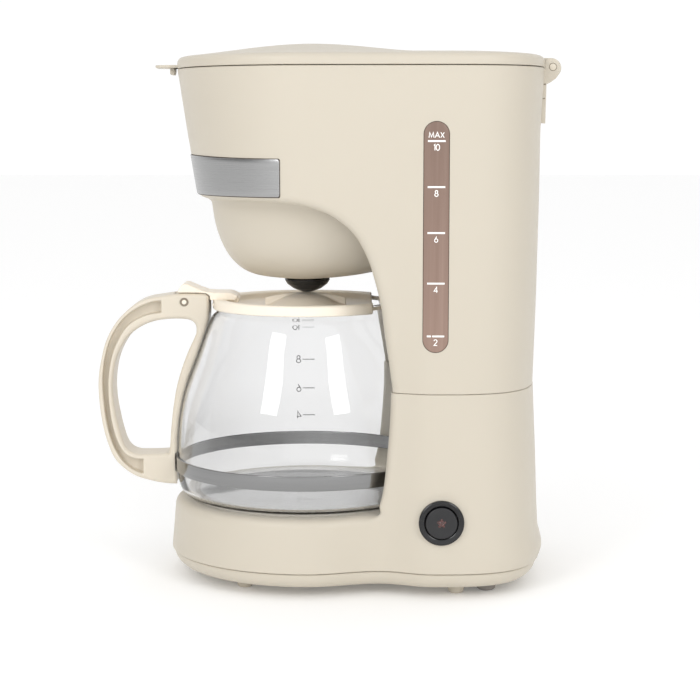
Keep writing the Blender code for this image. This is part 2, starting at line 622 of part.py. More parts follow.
tube("heating_element", 4.0, horseshoe(44.0, 39.2, 32, 8.0), ALUMINIUM, 2, 1)
tube("boiler_tube", 4.6, horseshoe(44.0, 29.9, 32, 26.0), ALUMINIUM, 2, 1)
bracket_ = block("element_bracket", (-54, -8, 23.4), (54, 8, 24.9), STEEL)
for x in (-29.0, 29.0):
    boolean(bracket_, cylinder(f"bracket_hole_{x}", 2.3, (x, 0, 20), (x, 0, 30), None, 14, True))
    turned(f"bracket_screw_{'left' if x < 0 else 'right'}",
           [(0, 43.3), (1.9, 43.3), (1.9, 23.1), (4.2, 23.1), (4.2, 21.0), (3.2, 20.0), (0, 20.0)], STEEL, (x, 0.0), 10)
turned("thermostat", [(0, 43.3), (9.0, 43.3), (9.0, 41.8), (7.6, 41.4), (7.6, 35.0), (6.6, 34.0), (0, 34.0)], BLACK, (0.0, 0.0), 16)
cylinder("thermal_fuse", 2.6, (-11.0, -22.0, 40.6), (11.0, -22.0, 40.6), BRASS, 16)

# ------------------------------------------------------------------ water circuit
valve_body = turned("check_valve_body", [
    (2.0, 117.6), (7.0, 117.6), (7.0, 115.6), (5.6, 115.0), (5.6, 104.0), (4.0, 102.6), (4.0, 96.4),
    (2.0, 96.4), (2.0, 102.8), (3.9, 104.6), (3.9, 112.6), (2.0, 114.6)], BLACK, (38.0, 104.0), 14)
ball_mesh = bpy.data.meshes.new("check_ball")
ball_bm = bmesh.new()
bmesh.ops.create_uvsphere(ball_bm, u_segments=12, v_segments=8, radius=3.0 * MM)
ball_bm.to_mesh(ball_mesh)
ball_bm.free()
ball_mesh.shade_smooth()
ball = place("check_ball", ball_mesh, SILICONE)
ball.location = at(38.0, 104.0, 107.9)
hose_end = horseshoe(44.0, 29.9, 32, 26.0)[0]
ex, ey = abs(hose_end[0]), hose_end[1]
tube("cold_water_hose", 4.0, [(38.0, 104.0, 96.0), (38.0, 104.0, 82.0), (37.0, 103.0, 62.0), (33.0, 96.0, 44.0), (29.0, 84.0, 32.5), (ex + 0.3, ey + 0.9, 29.9)], SILICONE)
tube("hot_water_hose", 4.0, [(-38.0, 104.0, 107.0), (-38.0, 104.0, 84.0), (-37.0, 103.0, 62.0), (-33.0, 96.0, 44.0), (-29.0, 84.0, 32.5), (-ex - 0.3, ey + 0.9, 29.9)], SILICONE)
tube("riser_tube", 3.9, [(-38.0, 104.0, 107.4), (-38.0, 104.0, 150.0), (-38.0, 104.0, 210.0), (-38.0, 104.0, 262.0), (-37.0, 102.0, 276.0), (-33.0, 92.0, 284.2), (-24.0, 70.0, 285.0),
                         (-11.0, 40.0, 285.0), (-6.4, 18.0, 285.0)], TANK)
head = turned("shower_head", [(0.0, 289.2), (12.0, 289.2), (13.2, 288.2), (13.2, 282.0), (11.8, 282.0), (11.8, 286.6), (0.0, 286.6)], TANK, (0.0, BREW_Y), 16)

# ------------------------------------------------------------------ switch
bezel = turned("switch_bezel", [(BUTTON_R + 0.5, 79.8), (SWITCH_R - 0.5, 79.8), (SWITCH_R, 79.2), (SWITCH_R, 78.5), (9.4, 78.5), (9.4, 72.0), (BUTTON_R + 0.5, 72.0)],
               BLACK, (SWITCH_Y, SWITCH_Z), 24, False, "X")
turned("power_button", [(1.7, 80.2), (2.2, 80.4), (BUTTON_R - 0.9, 80.1), (BUTTON_R, 79.4), (BUTTON_R, 68.0), (1.7, 68.0)], BLACK, (SWITCH_Y, SWITCH_Z), 20, False, "X")
turned("button_lens", [(0.0, 80.3), (1.4, 80.3), (1.4, 69.0), (0.0, 69.0)], LENS, (SWITCH_Y, SWITCH_Z), 8, False, "X")
block("switch_body", (57.0, SWITCH_Y - 6.5, SWITCH_Z - 8.0), (65.2, SWITCH_Y + 8.0, SWITCH_Z + 8.0), BLACK)

# ------------------------------------------------------------------ carafe
GLASS_OUT = [  # radius, height
    (60.0, 45.1), (66.5, 45.3), (70.6, 47.4), (72.8, 52.0), (73.6, 60.0), (73.6, 70.0), (72.6, 87.0), (70.2, 101.0), (67.0, 111.4),
    (61.5, 126.0), (57.3, 137.8), (53.6, 146.4), (50.6, 150.2), (49.4, 152.5), (49.3, 155.7)]
GLASS_IN = [(47.0, 155.7), (47.0, 152.0), (51.2, 145.2), (54.9, 136.6), (59.1, 124.8), (64.6, 110.3), (67.8, 100.2), (70.1, 86.6), (71.0, 68.0), (70.6, 56.0), (68.0, 49.4), (62.0, 47.4)]
CUT_Y = 38.0              # the carafe's lid ends here, and the spout starts


def spout(a, z):
    """How far the pouring lip stands out of the round neck."""
    w = (a - math.pi / 2 + math.pi) % (2 * math.pi) - math.pi
    return 7.0 * math.exp(-(w / 0.30) ** 2) * max(0.0, min(1.0, (z - 140.0) / 16.0)) ** 1.4


def glass_loops(rows, n=36):
    return [[at((r + spout(2 * math.pi * i / n, z)) * math.cos(2 * math.pi * i / n), (r + spout(2 * math.pi * i / n, z)) * math.sin(2 * math.pi * i / n), z)
             for i in range(n)] for r, z in rows]


loft("carafe_glass", glass_loops(GLASS_OUT + GLASS_IN), GLASS)
turned("carafe_band", [(73.95, 67.7), (74.7, 67.7), (74.7, 59.6), (73.95, 59.6)], STEEL, (0, 0), 36)

OUTER = smooth2([(-56.2, 160.2), (-66.0, 160.5), (-72.3, 160.2), (-78.0, 159.5), (-83.9, 158.6), (-88.5, 157.8), (-93.1, 156.1), (-99.0, 152.3), (-106.8, 144.4), (-112.6, 134.4), (-115.8, 123.2),
         (-117.6, 111.8), (-117.5, 100.5), (-116.1, 87.9), (-113.4, 76.2), (-108.4, 64.8), (-98.8, 56.6), (-89.5, 53.3), (-80.4, 51.5), (-73.0, 51.1)], 1)
handle_poly = OUTER + [(-73.0, 76.0), (-71.4, 90.0), (-69.2, 102.6), (-66.0, 112.9), (-60.5, 127.2), (-56.6, 138.9), (-54.6, 145.5), (-54.4, 150.0), (-54.6, 158.6)]
HW = 11.25
handle = prism("carafe_handle", handle_poly, -HW, HW, CREAM)
finger = [(-70.2, 146.0), (-64.9, 145.2), (-62.1, 142.6), (-61.7, 139.0), (-62.5, 136.0), (-68.2, 123.2), (-72.9, 108.4), (-75.3, 95.1), (-76.6, 83.6), (-77.8, 70.0),
          (-80.3, 68.8), (-90.4, 68.4), (-97.4, 68.9), (-102.4, 72.4), (-105.6, 81.0), (-108.2, 93.0), (-109.4, 103.0), (-109.2, 112.5), (-107.6, 121.4), (-104.4, 129.6), (-99.6, 136.6),
          (-92.6, 141.8), (-84.9, 144.8), (-77.0, 145.9)]
boolean(handle, prism("finger_gap", finger, -30, 30, None, True))
groove = [(-81.4, 156.4), (-86.8, 155.6), (-94.6, 152.4), (-101.2, 147.9), (-106.2, 142.2), (-110.3, 135.0), (-113.0, 127.2), (-114.7, 117.8), (-115.2, 108.8), (-114.6, 98.1), (-113.3, 87.2),
          (-110.6, 76.2), (-106.2, 67.0), (-100.0, 60.4), (-92.8, 57.0), (-92.7, 65.8), (-97.0, 65.9), (-102.8, 68.6), (-107.3, 76.0), (-110.1, 86.0), (-111.5, 96.0), (-112.0, 107.1),
          (-111.2, 117.4), (-109.3, 126.0), (-106.0, 134.0), (-102.0, 140.4), (-96.6, 145.0), (-89.3, 148.3), (-81.4, 149.7)]
for side in (-1, 1):
    a, b = sorted((side * 5.6, side * 20.0))
    boolean(handle, prism(f"handle_groove_{side}", groove, a, b, None, True))
# clearance to the glass and its band, the slot for the lid's arm, and the pin's bore
boolean(handle, turned("glass_clearance", [(0, 170), (50.0, 170), (50.0, 151.0), (54.0, 146.8), (57.7, 137.9), (61.9, 126.1), (67.4, 111.6), (70.6, 101.1), (73.0, 87.0), (73.7, 78.0), (74.0, 69.2),
                                           (75.1, 68.8), (75.1, 58.6), (74.0, 58.2), (74.0, 50.0), (0, 50.0)], None, (0, 0), 96, True))
boolean(handle, turned("lid_clearance", [(0, 180), (53.3, 180), (53.3, 150.6), (0, 150.6)], None, (0, 0), 64, True))
boolean(handle, block("arm_slot", (-6.3, -74.6, 148.6), (6.3, -40.0, 180.0), None, True))
boolean(handle, cylinder("pivot_bore", 2.0 + GAP, (-20, PIVOT_Y, PIVOT_Z), (20, PIVOT_Y, PIVOT_Z), None, 18, True))
boolean(handle, cylinder("lever_clearance", 13.0, (-20, -62.0, 176.4), (20, -62.0, 176.4), None, 40, True))
boolean(handle, cylinder("handle_screw_bore", 1.9, (0, -90, 63.6), (0, -60, 63.6), None, 14, True))
cylinder("handle_screw", 1.5, (0, -79.8, 63.6), (0, -75.4, 63.6), STEEL, 14)
cylinder("carafe_lid_pin", 2.0, (-11.6, PIVOT_Y, PIVOT_Z), (11.6, PIVOT_Y, PIVOT_Z), STEEL, 16)
collar = turned("carafe_collar", [(49.9, 155.0), (50.8, 155.0), (50.8, 153.0), (49.9, 153.0)], CREAM, (0, 0), 36)
boolean(collar, block("spout_gap", (-24, 30, 150), (24, 60, 160), None, True))
for side in (-1, 1):
    a, b = sorted((side * 7.0, side * 9.6))
    boolean(collar, block(f"collar_lug_{side}", (a, -52.6, 153.2), (b, -49.75, 154.8), None, True), "UNION")

# the carafe's lid: a sunken saucer with a domed middle, cut off at the spout, on an arm from the hinge
c_lid = turned("carafe_lid", [(0, 160.0), (6.0, 159.4), (12.0, 157.5), (17.0, 155.0), (20.4, 153.2), (34.0, 153.0), (44.4, 153.6), (45.4, 156.6), (48.6, 157.3), (51.8, 157.1), (52.7, 156.2), (52.7, 151.2),
                              (51.4, 151.2), (51.3, 156.1), (46.5, 156.1), (45.4, 151.8), (34.0, 151.2), (19.0, 151.4), (15.6, 153.6), (11.0, 156.0), (5.4, 157.6), (0, 158.2)], CREAM, (0, 0), 36)
boolean(c_lid, block("spout_cut", (-60, CUT_Y, 140), (60, 80, 170), None, True))
lever = [(-73.4, 158.4), (-72.3, 160.8), (-71.3, 163.2), (-70.0, 164.9), (-68.6, 165.9), (-66.7, 165.9), (-60.0, 163.0), (-55.2, 161.4), (-50.5, 161.1), (-42.8, 161.0), (-40.9, 160.4), (-38.4, 159.0), (-36.4, 157.4),
         (-38.0, 154.2), (-45.7, 154.2), (-46.0, 156.9), (-53.0, 157.2), (-53.8, 155.6), (-56.0, 154.6), (-60.0, 152.6), (-68.3, 151.4), (-72.2, 154.0)]
boolean(c_lid, prism("lid_arm", lever, -6.0, 6.0, None, True), "UNION")
for side in (-1, 1):
    a, b = sorted((side * 6.5, side * 10.1))
    boolean(c_lid, block(f"lug_notch_{side}", (a, -60, 140), (b, -49.6, 155.4), None, True))
boolean(c_lid, cylinder("lid_pin_bore", 2.0 + GAP, (-20, PIVOT_Y, PIVOT_Z), (20, PIVOT_Y, PIVOT_Z), None, 18, True))
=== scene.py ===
# The drip coffee maker's looks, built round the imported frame.
# Shapes are written in the part's design millimetres (carafe axis at x = 0, y = 0, table at
# z = 0) and moved to the frame's metres by D().  The large mouldings are isosurfaces of
# distance functions, so that their edges and corners carry real fillets.
import math

import bmesh
import bpy
import numpy as np
from mathutils import Matrix, Vector


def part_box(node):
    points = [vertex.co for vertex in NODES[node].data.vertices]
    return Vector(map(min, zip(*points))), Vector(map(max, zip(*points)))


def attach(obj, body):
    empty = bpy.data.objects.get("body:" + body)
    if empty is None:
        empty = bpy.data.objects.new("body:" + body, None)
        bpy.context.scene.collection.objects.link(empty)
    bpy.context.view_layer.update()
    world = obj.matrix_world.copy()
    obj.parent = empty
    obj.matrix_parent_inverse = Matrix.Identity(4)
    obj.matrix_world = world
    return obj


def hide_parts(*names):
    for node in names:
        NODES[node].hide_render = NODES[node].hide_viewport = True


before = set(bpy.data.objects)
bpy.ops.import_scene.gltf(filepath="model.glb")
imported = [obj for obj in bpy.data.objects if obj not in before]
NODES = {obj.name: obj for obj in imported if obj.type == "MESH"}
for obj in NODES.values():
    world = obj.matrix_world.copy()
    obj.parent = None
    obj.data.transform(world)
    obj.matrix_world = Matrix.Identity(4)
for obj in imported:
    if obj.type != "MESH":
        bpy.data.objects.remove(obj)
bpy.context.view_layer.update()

_lo, _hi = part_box("carafe_band")
YC = -(_lo[1] + _hi[1]) / 2 * 1000.0       # how far the frame is shifted from design Y
BREW_Y = 1.0
HINGE_Y, HINGE_Z = 135.9, 286.2
PIVOT_Y, PIVOT_Z = -68.3, 155.6
SWITCH_Y, SWITCH_Z = 74.3, 43.3
GAUGE_Y, GAUGE_W, GAUGE_Z0, GAUGE_Z1 = 70.5, 13.2, 135.3, 256.5
rng = np.random.default_rng(7)


def D(p):
    """Design millimetres (N, 3) to frame metres."""
    p = np.asarray(p, float).reshape(-1, 3)
    return (p - np.array([0.0, YC, 0.0])) * 0.001


# ---------------------------------------------------------------- mesh making
def new_object(name, verts, faces, mat, body, replaces=(), smooth=True, angle=None):
    mesh = bpy.data.meshes.new(name)
    mesh.from_pydata([tuple(v) for v in verts], [], [tuple(int(i) for i in f) for f in faces])
    mesh.validate()
    mesh.update()
    if smooth:
        mesh.shade_smooth()
        if angle is not None:
            mesh.set_sharp_from_angle(angle=math.radians(angle))
    o = bpy.data.objects.new(name, mesh)
    bpy.context.scene.collection.objects.link(o)
    if mat is not None:
        mesh.materials.append(mat)
    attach(o, body)
    if replaces:
        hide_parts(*replaces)
    return o


def fast_mesh(name, verts, quads, mat, body, replaces=()):
    """Quads straight from arrays."""
    mesh = bpy.data.meshes.new(name)
    n, m = len(verts), len(quads)
    mesh.vertices.add(n)
    mesh.vertices.foreach_set("co", np.ascontiguousarray(verts, np.float32).ravel())
    mesh.loops.add(m * 4)
    mesh.loops.foreach_set("vertex_index", np.ascontiguousarray(quads, np.int32).ravel())
    mesh.polygons.add(m)
    mesh.polygons.foreach_set("loop_start", np.arange(0, m * 4, 4, dtype=np.int32))
    mesh.update(calc_edges=True)
    mesh.validate()
    mesh.shade_smooth()
    o = bpy.data.objects.new(name, mesh)
    bpy.context.scene.collection.objects.link(o)
    mesh.materials.append(mat)
    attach(o, body)
    if replaces:
        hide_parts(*replaces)
    return o


def graded(lo, hi, h, fine):
    """Grid lines from lo to hi, h apart, closer together near the places in fine: (centre, half-range, step)."""
    if not fine:
        return lo + h * np.arange(int(math.ceil((hi - lo) / h)) + 1)
    out, t = [lo], lo
    while t < hi:
        step = h
        for c, half, s in fine:
            gap = max(0.0, abs(t + 0.5 * s - c) - half)
            step = min(step, s + gap * 0.45)
        t += step
        out.append(t)
    return np.array(out)


def isosurface(fn, lo, hi, h, newton=4, fine=((), (), ())):
    """Surface nets on fn < 0, then every vertex moved onto fn = 0 by Newton steps."""
    lo, hi = np.array(lo, float), np.array(hi, float)
    ax = [graded(lo[i], hi[i], h, fine[i]) for i in range(3)]
    n = np.array([len(a) for a in ax])
    F = fn(ax[0][:, None, None], ax[1][None, :, None], ax[2][None, None, :])
    F = np.broadcast_to(F, tuple(n)).astype(np.float32)
    S = F < 0
    count = np.zeros(tuple(n - 1), np.int8)
    corners = [(i, j, k) for i in (0, 1) for j in (0, 1) for k in (0, 1)]
    for i, j, k in corners:
        count += S[i:n[0] - 1 + i, j:n[1] - 1 + j, k:n[2] - 1 + k]
    active = (count > 0) & (count < 8)
    ci = np.argwhere(active)
    index = np.full(tuple(n - 1), -1, np.int64)
    index[active] = np.arange(len(ci))
    P = np.zeros((len(ci), 3))
    W = np.zeros(len(ci))
    for a in range(3):
        b, c = [q for q in range(3) if q != a]
        for u in (0, 1):
            for v in (0, 1):
                o0 = np.zeros(3, int)
                o0[b], o0[c] = u, v
                o1 = o0.copy()
                o1[a] = 1
                f0 = F[tuple((ci + o0).T)]
                f1 = F[tuple((ci + o1).T)]
                m = (f0 < 0) != (f1 < 0)
                t = np.where(m, f0 / np.where(m, f0 - f1, 1), 0)
                p = ci + o0.astype(float)
                p[:, a] += t
                P[m] += p[m]
                W += m
    P = P / W[:, None]
    size = []
    for a in range(3):
        size.append(np.diff(ax[a])[ci[:, a]])
        P[:, a] = np.interp(P[:, a], np.arange(n[a]), ax[a])
    size = np.stack(size, 1).min(1, keepdims=True)
    quads = []
    for a in range(3):
        b, c = [(1, 2), (2, 0), (0, 1)][a]
        s0 = [slice(None)] * 3
        s1 = [slice(None)] * 3
        s0[a], s1[a] = slice(0, n[a] - 1), slice(1, n[a])
        for q in (b, c):
            s0[q] = s1[q] = slice(1, n[q] - 1)
        A, B = S[tuple(s0)], S[tuple(s1)]
        e = np.argwhere(A != B)
        inside = A[tuple(e.T)]
        base = e.copy()
        base[:, b] += 1
        base[:, c] += 1
        ring = []
        for db, dc in ((-1, -1), (0, -1), (0, 0), (-1, 0)):
            cell = base.copy()
            cell[:, b] += db
            cell[:, c] += dc
            ring.append(index[tuple(cell.T)])
        ring = np.stack(ring, 1)
        ring[~inside] = ring[~inside][:, ::-1]
        quads.append(ring)
    quads = np.concatenate(quads)
    eps = 0.02
    for _ in range(newton):
        x, y, z = P.T
        f = fn(x, y, z)
        g = np.stack([
            (fn(x + eps, y, z) - fn(x - eps, y, z)), (fn(x, y + eps, z) - fn(x, y - eps, z)),
            (fn(x, y, z + eps) - fn(x, y, z - eps))], 1) / (2 * eps)
        step = (f / np.maximum((g * g).sum(1), 0.05))[:, None] * g
        length = np.linalg.norm(step, axis=1, keepdims=True)
        P = P - step * np.minimum(1.0, 0.35 * size / np.maximum(length, 1e-9))
    return P, quads


def implicit(name, fn, lo, hi, h, mat, body, replaces=(), fine=((), (), ())):
    P, Q = isosurface(fn, lo, hi, h, fine=fine)
    return fast_mesh(name, D(P), Q, mat, body, replaces)


def rmax(a, b, r):
    """Intersection of two distance fields, with the outer corner rounded to radius r."""
    return np.minimum(np.maximum(a, b), -r) + np.sqrt(np.maximum(a + r, 0) ** 2 + np.maximum(b + r, 0) ** 2)


def rmin(a, b, r):
    """Union, with the inner corner filled to radius r."""
    return np.maximum(np.minimum(a, b), r) - np.sqrt(np.maximum(r - a, 0) ** 2 + np.maximum(r - b, 0) ** 2)


def segments_distance(px, py, poly, closed=True):
    """Signed distance from points to a polygon, negative inside."""
    poly = np.asarray(poly, float)
    best = np.full(px.shape, 1e9)
    inside = np.zeros(px.shape, bool)
    m = len(poly)
    for i in range(m if closed else m - 1):
        a, b = poly[i], poly[(i + 1) % m]
        d = b - a
        L = max(d @ d, 1e-12)
        t = np.clip(((px - a[0]) * d[0] + (py - a[1]) * d[1]) / L, 0, 1)
        best = np.minimum(best, (px - a[0] - t * d[0]) ** 2 + (py - a[1] - t * d[1]) ** 2)
        if a[1] != b[1]:
            cross = ((a[1] > py) != (b[1] > py)) & (px < (b[0] - a[0]) * (py - a[1]) / (b[1] - a[1]) + a[0])
            inside ^= cross
    return np.where(inside, -1, 1) * np.sqrt(best)


class Flat:
    """A polygon's signed distance, tabulated and read back bilinearly."""

    def __init__(self, poly, lo, hi, step=0.25):
        self.lo, self.step = np.array(lo, float), step
        self.n = np.ceil((np.array(hi) - self.lo) / step).astype(int) + 1
        u = self.lo[0] + step * np.arange(self.n[0])
        v = self.lo[1] + step * np.arange(self.n[1])
        U, V = np.meshgrid(u, v, indexing="ij")
        self.T = segments_distance(U, V, poly)

    def __call__(self, u, v):
        u, v = np.broadcast_arrays(u, v)
        a = (u - self.lo[0]) / self.step
        b = (v - self.lo[1]) / self.step
        a = np.clip(a, 0, self.n[0] - 1.001)
        b = np.clip(b, 0, self.n[1] - 1.001)
        i, j = a.astype(int), b.astype(int)
        fa, fb = a - i, b - j
        T = self.T
        return (T[i, j] * (1 - fa) * (1 - fb) + T[i + 1, j] * fa * (1 - fb)
                + T[i, j + 1] * (1 - fa) * fb + T[i + 1, j + 1] * fa * fb)


def spline(points, per, closed=False):
    """Centripetal-ish Catmull-Rom through 2-D or 3-D points."""
    P = np.asarray(points, float)
    n = len(P)
    out = []
    for i in range(n if closed else n - 1):
        if closed:
            p0, p1, p2, p3 = P[(i - 1) % n], P[i], P[(i + 1) % n], P[(i + 2) % n]
        else:
            p0, p1, p2, p3 = P[max(i - 1, 0)], P[i], P[i + 1], P[min(i + 2, n - 1)]
        for k in range(per):
            t = k / per
            out.append(0.5 * (2 * p1 + (p2 - p0) * t + (2 * p0 - 5 * p1 + 4 * p2 - p3) * t * t + (3 * p1 - p0 - 3 * p2 + p3) * t ** 3))
    if not closed:
        out.append(P[-1])
    return np.array(out)


# ---------------------------------------------------------------- the housings' plan outline
UPPER = np.array([
    # z      front  c1   w1    ym    wm    c2    w2    back
    (90.0, -46.0, 4.0, 68.5, 43.0, 70.6, 71.0, 77.8, 127.7),
    (112.0, -47.0, 4.0, 69.0, 43.0, 71.0, 71.0, 77.9, 128.0),
    (160.0, -54.0, 5.0, 72.0, 42.0, 74.2, 71.0, 78.6, 129.4),
    (205.0, -58.4, 6.0, 74.8, 40.0, 76.6, 71.0, 79.3, 130.2),
    (220.5, -61.0, 6.0, 75.8, 40.0, 77.3, 71.0, 79.5, 130.45),
    (252.0, -66.2, 6.0, 77.2, 40.0, 78.4, 71.0, 80.0, 130.65),
    (286.0, -71.3, 6.0, 78.7, 40.0, 79.6, 71.0, 80.6, 132.7),
    (300.0, -73.3, 6.0, 79.3, 40.0, 80.0, 71.0, 80.8, 133.0)])
LOWER = np.array([
    (0.0, -77.3, 2.0, 78.1, 41.0, 70.2, 71.0, 78.1, 131.0),
    (14.8, -77.1, 2.0, 78.0, 41.0, 70.2, 71.0, 78.1, 132.2),
    (20.0, -76.7, 2.0, 77.8, 41.0, 70.2, 71.0, 78.1, 134.4),
    (24.0, -76.3, 2.0, 77.6, 41.0, 70.2, 71.0, 78.1, 133.9),
    (31.0, -75.7, 2.0, 77.3, 41.0, 70.2, 71.0, 78.1, 131.9),
    (38.0, -75.1, 2.0, 76.9, 41.0, 70.3, 71.0, 78.0, 131.5),
    (45.0, -74.5, 2.0, 76.5, 41.0, 70.4, 71.0, 78.0, 131.1),
    (76.0, -74.0, 2.0, 76.0, 42.0, 70.7, 71.0, 78.0, 129.9),
    (112.4, -74.0, 2.0, 76.0, 43.0, 71.0, 71.0, 77.9, 128.2),
    (130.0, -74.0, 2.0, 76.0, 43.0, 71.0, 71.0, 77.9, 128.2)])
REAR_POWER = 3.0


def smooth_table(table, sigma):
    z = np.arange(table[0, 0] - 12, table[-1, 0] + 12, 0.25)
    k = np.exp(-0.5 * (np.arange(-40, 41) * 0.25 / sigma) ** 2)
    k /= k.sum()
    cols = []
    for c in range(1, table.shape[1]):
        v = np.interp(z, table[:, 0], table[:, c])
        v = np.convolve(np.pad(v, 40, mode="edge"), k, mode="valid")
        cols.append(v)
    return z, cols


UP_T = smooth_table(UPPER, 3.0)
LO_T = smooth_table(LOWER, 1.2)


def d_outline(T, x, y, z):
    zs, cols = T
    yf, c1, w1, ym, wm, c2, w2, yb = [np.interp(z, zs, c) for c in cols]
    ax = np.abs(x)
    A = c1 - yf
    v = np.minimum(y - c1, 0) / A
    u = ax / w1
    g = np.sqrt(u * u + v * v) + 1e-9
    front = (g - 1) / (np.sqrt((u / w1) ** 2 + (v / A) ** 2) / g + 1e-9)
    t = np.clip((y - c1) / (ym - c1), 0, 1)
    t2 = np.clip((y - ym) / (c2 - ym), 0, 1)
    X = w1 + (wm - w1) * (1 - np.cos(np.pi * t)) / 2 + (w2 - wm) * (1 - np.cos(np.pi * t2)) / 2
    mid = ax - X
    B = yb - c2
    n = REAR_POWER
    u = ax / w2
    v = np.maximum(y - c2, 0) / B
    g = (u ** n + v ** n + 1e-12) ** (1 / n)
    rear = (g - 1) / (np.sqrt(((u / g) ** (n - 1) / w2) ** 2 + ((v / g) ** (n - 1) / B) ** 2) + 1e-9)
    return np.where(y < c1, front, np.where(y > c2, rear, mid))


def half_width(T, y, z):
    """x of the outer skin at (y, z), for pieces that sit on the side."""
    lo, hi = np.zeros_like(np.asarray(y, float) + z), np.full_like(np.asarray(y, float) + z, 95.0)
    for _ in range(40):
        m = (lo + hi) / 2
        f = d_outline(T, m, y + 0 * m, z + 0 * m)
        lo, hi = np.where(f < 0, m, lo), np.where(f < 0, hi, m)
    return (lo + hi) / 2


# ---------------------------------------------------------------- the carafe bay
ARCH = spline([(-90.0, 214.3), (-60.0, 214.3), (-34.0, 214.3), (-18.0, 214.1), (-4.0, 213.0), (5.3, 211.0), (14.6, 207.4), (22.0, 202.4), (27.6, 197.0),
               (32.0, 190.0), (35.6, 182.0), (38.4, 173.0), (41.2, 162.0), (42.8, 152.0), (44.0, 141.0), (45.2, 130.5), (46.5, 119.8), (47.3, 112.5), (47.3, 90.0)], 6)
COLUMN = spline([(47.4, 135.0), (47.3, 112.5), (47.0, 100.0), (46.3, 88.5), (45.4, 78.0), (44.3, 67.0), (43.1, 59.5), (41.2, 53.0), (37.5, 49.0), (31.5, 46.5), (22.0, 45.1), (6.0, 44.7), (-40.0, 44.7), (-120.0, 44.7)], 6)
arch_sdf = Flat(np.vstack([ARCH, [(-140.0, 60.0), (-140.0, 214.3)]]), (-90, 88), (140, 300), 0.5)
column_sdf = Flat(np.vstack([COLUMN, [(-120.0, 160.0), (47.4, 160.0)]]), (-95, 0), (140, 140), 0.5)


def d_bay_upper(x, y, z):
    side = arch_sdf(y, z)
    w = np.interp(z, [100, 130, 160, 190, 205, 214], [84, 81.5, 76, 71, 69.5, 68])
    d = np.interp(z, [100, 130, 160, 190, 205, 214], [84, 84, 83.5, 81, 78, 74])
    g = np.sqrt((x / w) ** 2 + (y / d) ** 2) + 1e-9
    bore = (g - 1) / (np.sqrt((x / w ** 2) ** 2 + (y / d ** 2) ** 2) / g + 1e-9)
    bore = rmax(bore, z - 213.6, 10.0)
    return rmin(side, bore, 2.0)


def d_bay_lower(x, y, z):
    side = column_sdf(y, z)
    r = np.sqrt(x * x + y * y) - 79.2
    bore = rmax(r, 44.7 - z, 2.8)
    return rmin(side, bore, 2.0)


# ---------------------------------------------------------------- brew bowl
BOWL_P = spline([(-30.0, 168.4), (0.0, 168.4), (12.0, 168.5), (20.0, 168.9), (28.0, 170.2), (34.5, 172.6), (40.5, 176.6), (45.8, 182.2), (50.0, 189.0), (53.2, 197.0), (55.4, 206.0), (56.6, 216.0), (57.2, 232.0)], 6)
bowl_sdf = Flat(np.vstack([BOWL_P, [(-30.0, 232.0)]]), (0, 140), (130, 250), 0.5)


BOWL_LIFT = np.array([(-55.0, -1.6), (-50.0, -2.6), (-45.0, -3.4), (-37.0, -3.1), (-30.0, -1.9), (-23.0, -0.7), (-15.0, 0.0), (0.0, 0.3), (14.0, 1.2), (25.0, 2.1), (31.0, 2.6), (37.0, 3.4), (60.0, 4.0)])
_ly = np.arange(-90.0, 120.0, 0.5)
_lv = np.interp(_ly, BOWL_LIFT[:, 0], BOWL_LIFT[:, 1])
_lk = np.exp(-0.5 * (np.arange(-12, 13) * 0.5 / 2.2) ** 2)
_lv = np.convolve(np.pad(_lv, 12, mode="edge"), _lk / _lk.sum(), mode="valid")


def d_bowl(x, y, z):
    z = z - np.interp(y, _ly, _lv) * np.clip((212.0 - z) / 12.0, 0, 1)
    k = np.where(y < 10.0, 1.115, 1.37)
    v = (y - 10.0) / k
    r = np.sqrt(x * x + v * v)
    return bowl_sdf(r, z)


WALL = 2.5


def f_upper(x, y, z):
    outer = d_outline(UP_T, x, y, z)
    body = rmax(outer, -d_bay_upper(x, y, z), 4.5)
    solid = rmin(body, np.maximum(d_bowl(x, y, z), z - 222.0), 5.0)
    shell = np.maximum(solid, -(solid + WALL))
    hole = 14.5 - np.sqrt(x * x + (y - BREW_Y) ** 2)
    shell = np.where(z < 176, rmax(shell, hole + 0 * shell, 0.8), shell)
    shell = rmax(shell, z - 285.6 + 0 * shell, 0.7)
    knuckle = np.maximum(np.sqrt((y - HINGE_Y) ** 2 + (z - HINGE_Z) ** 2) - 5.7, np.abs(x) - 23.8)
    shell = np.maximum(shell, -knuckle)
    return rmax(shell, 112.62 - z + 0 * shell, 0.3)


def f_lower(x, y, z):
    outer = d_outline(LO_T, x, y, z)
    solid = rmax(outer, -d_bay_lower(x, y, z), np.interp(z, [47.0, 54.0], [5.0, 3.2]))
    # a faint dished ring round the switch
    rs = np.sqrt((y - SWITCH_Y) ** 2 + (z - SWITCH_Z) ** 2)
    dish = 0.35 * np.clip(1 - ((rs - 13.8) / 1.6) ** 2, 0, 1) * (x > 0)
    solid = solid + dish
    shell = np.maximum(solid, -(solid + WALL))
    plate = 65.3 - np.sqrt(x * x + y * y)
    shell = np.where(z > 30, rmax(shell, plate + 0 * shell, 0.5), shell) if np.ndim(z) else shell
    button = 9.8 - rs
    shell = np.where(x > 40, np.maximum(shell, button), shell)
    cord = 5.2 - np.sqrt((x + 30.0) ** 2 + (z - 26.0) ** 2)
    shell = np.where(y > 100, rmax(shell, cord + 0 * shell, 0.6), shell)
    shell = rmax(shell, 14.8 - z + 0 * shell, 0.6)
    return rmax(shell, z - 112.4 + 0 * shell, 0.25)


# ---------------------------------------------------------------- materials
def nodes_of(mat):
    nt = mat.node_tree
    return nt, nt.nodes, nt.links, nt.nodes["Principled BSDF"]


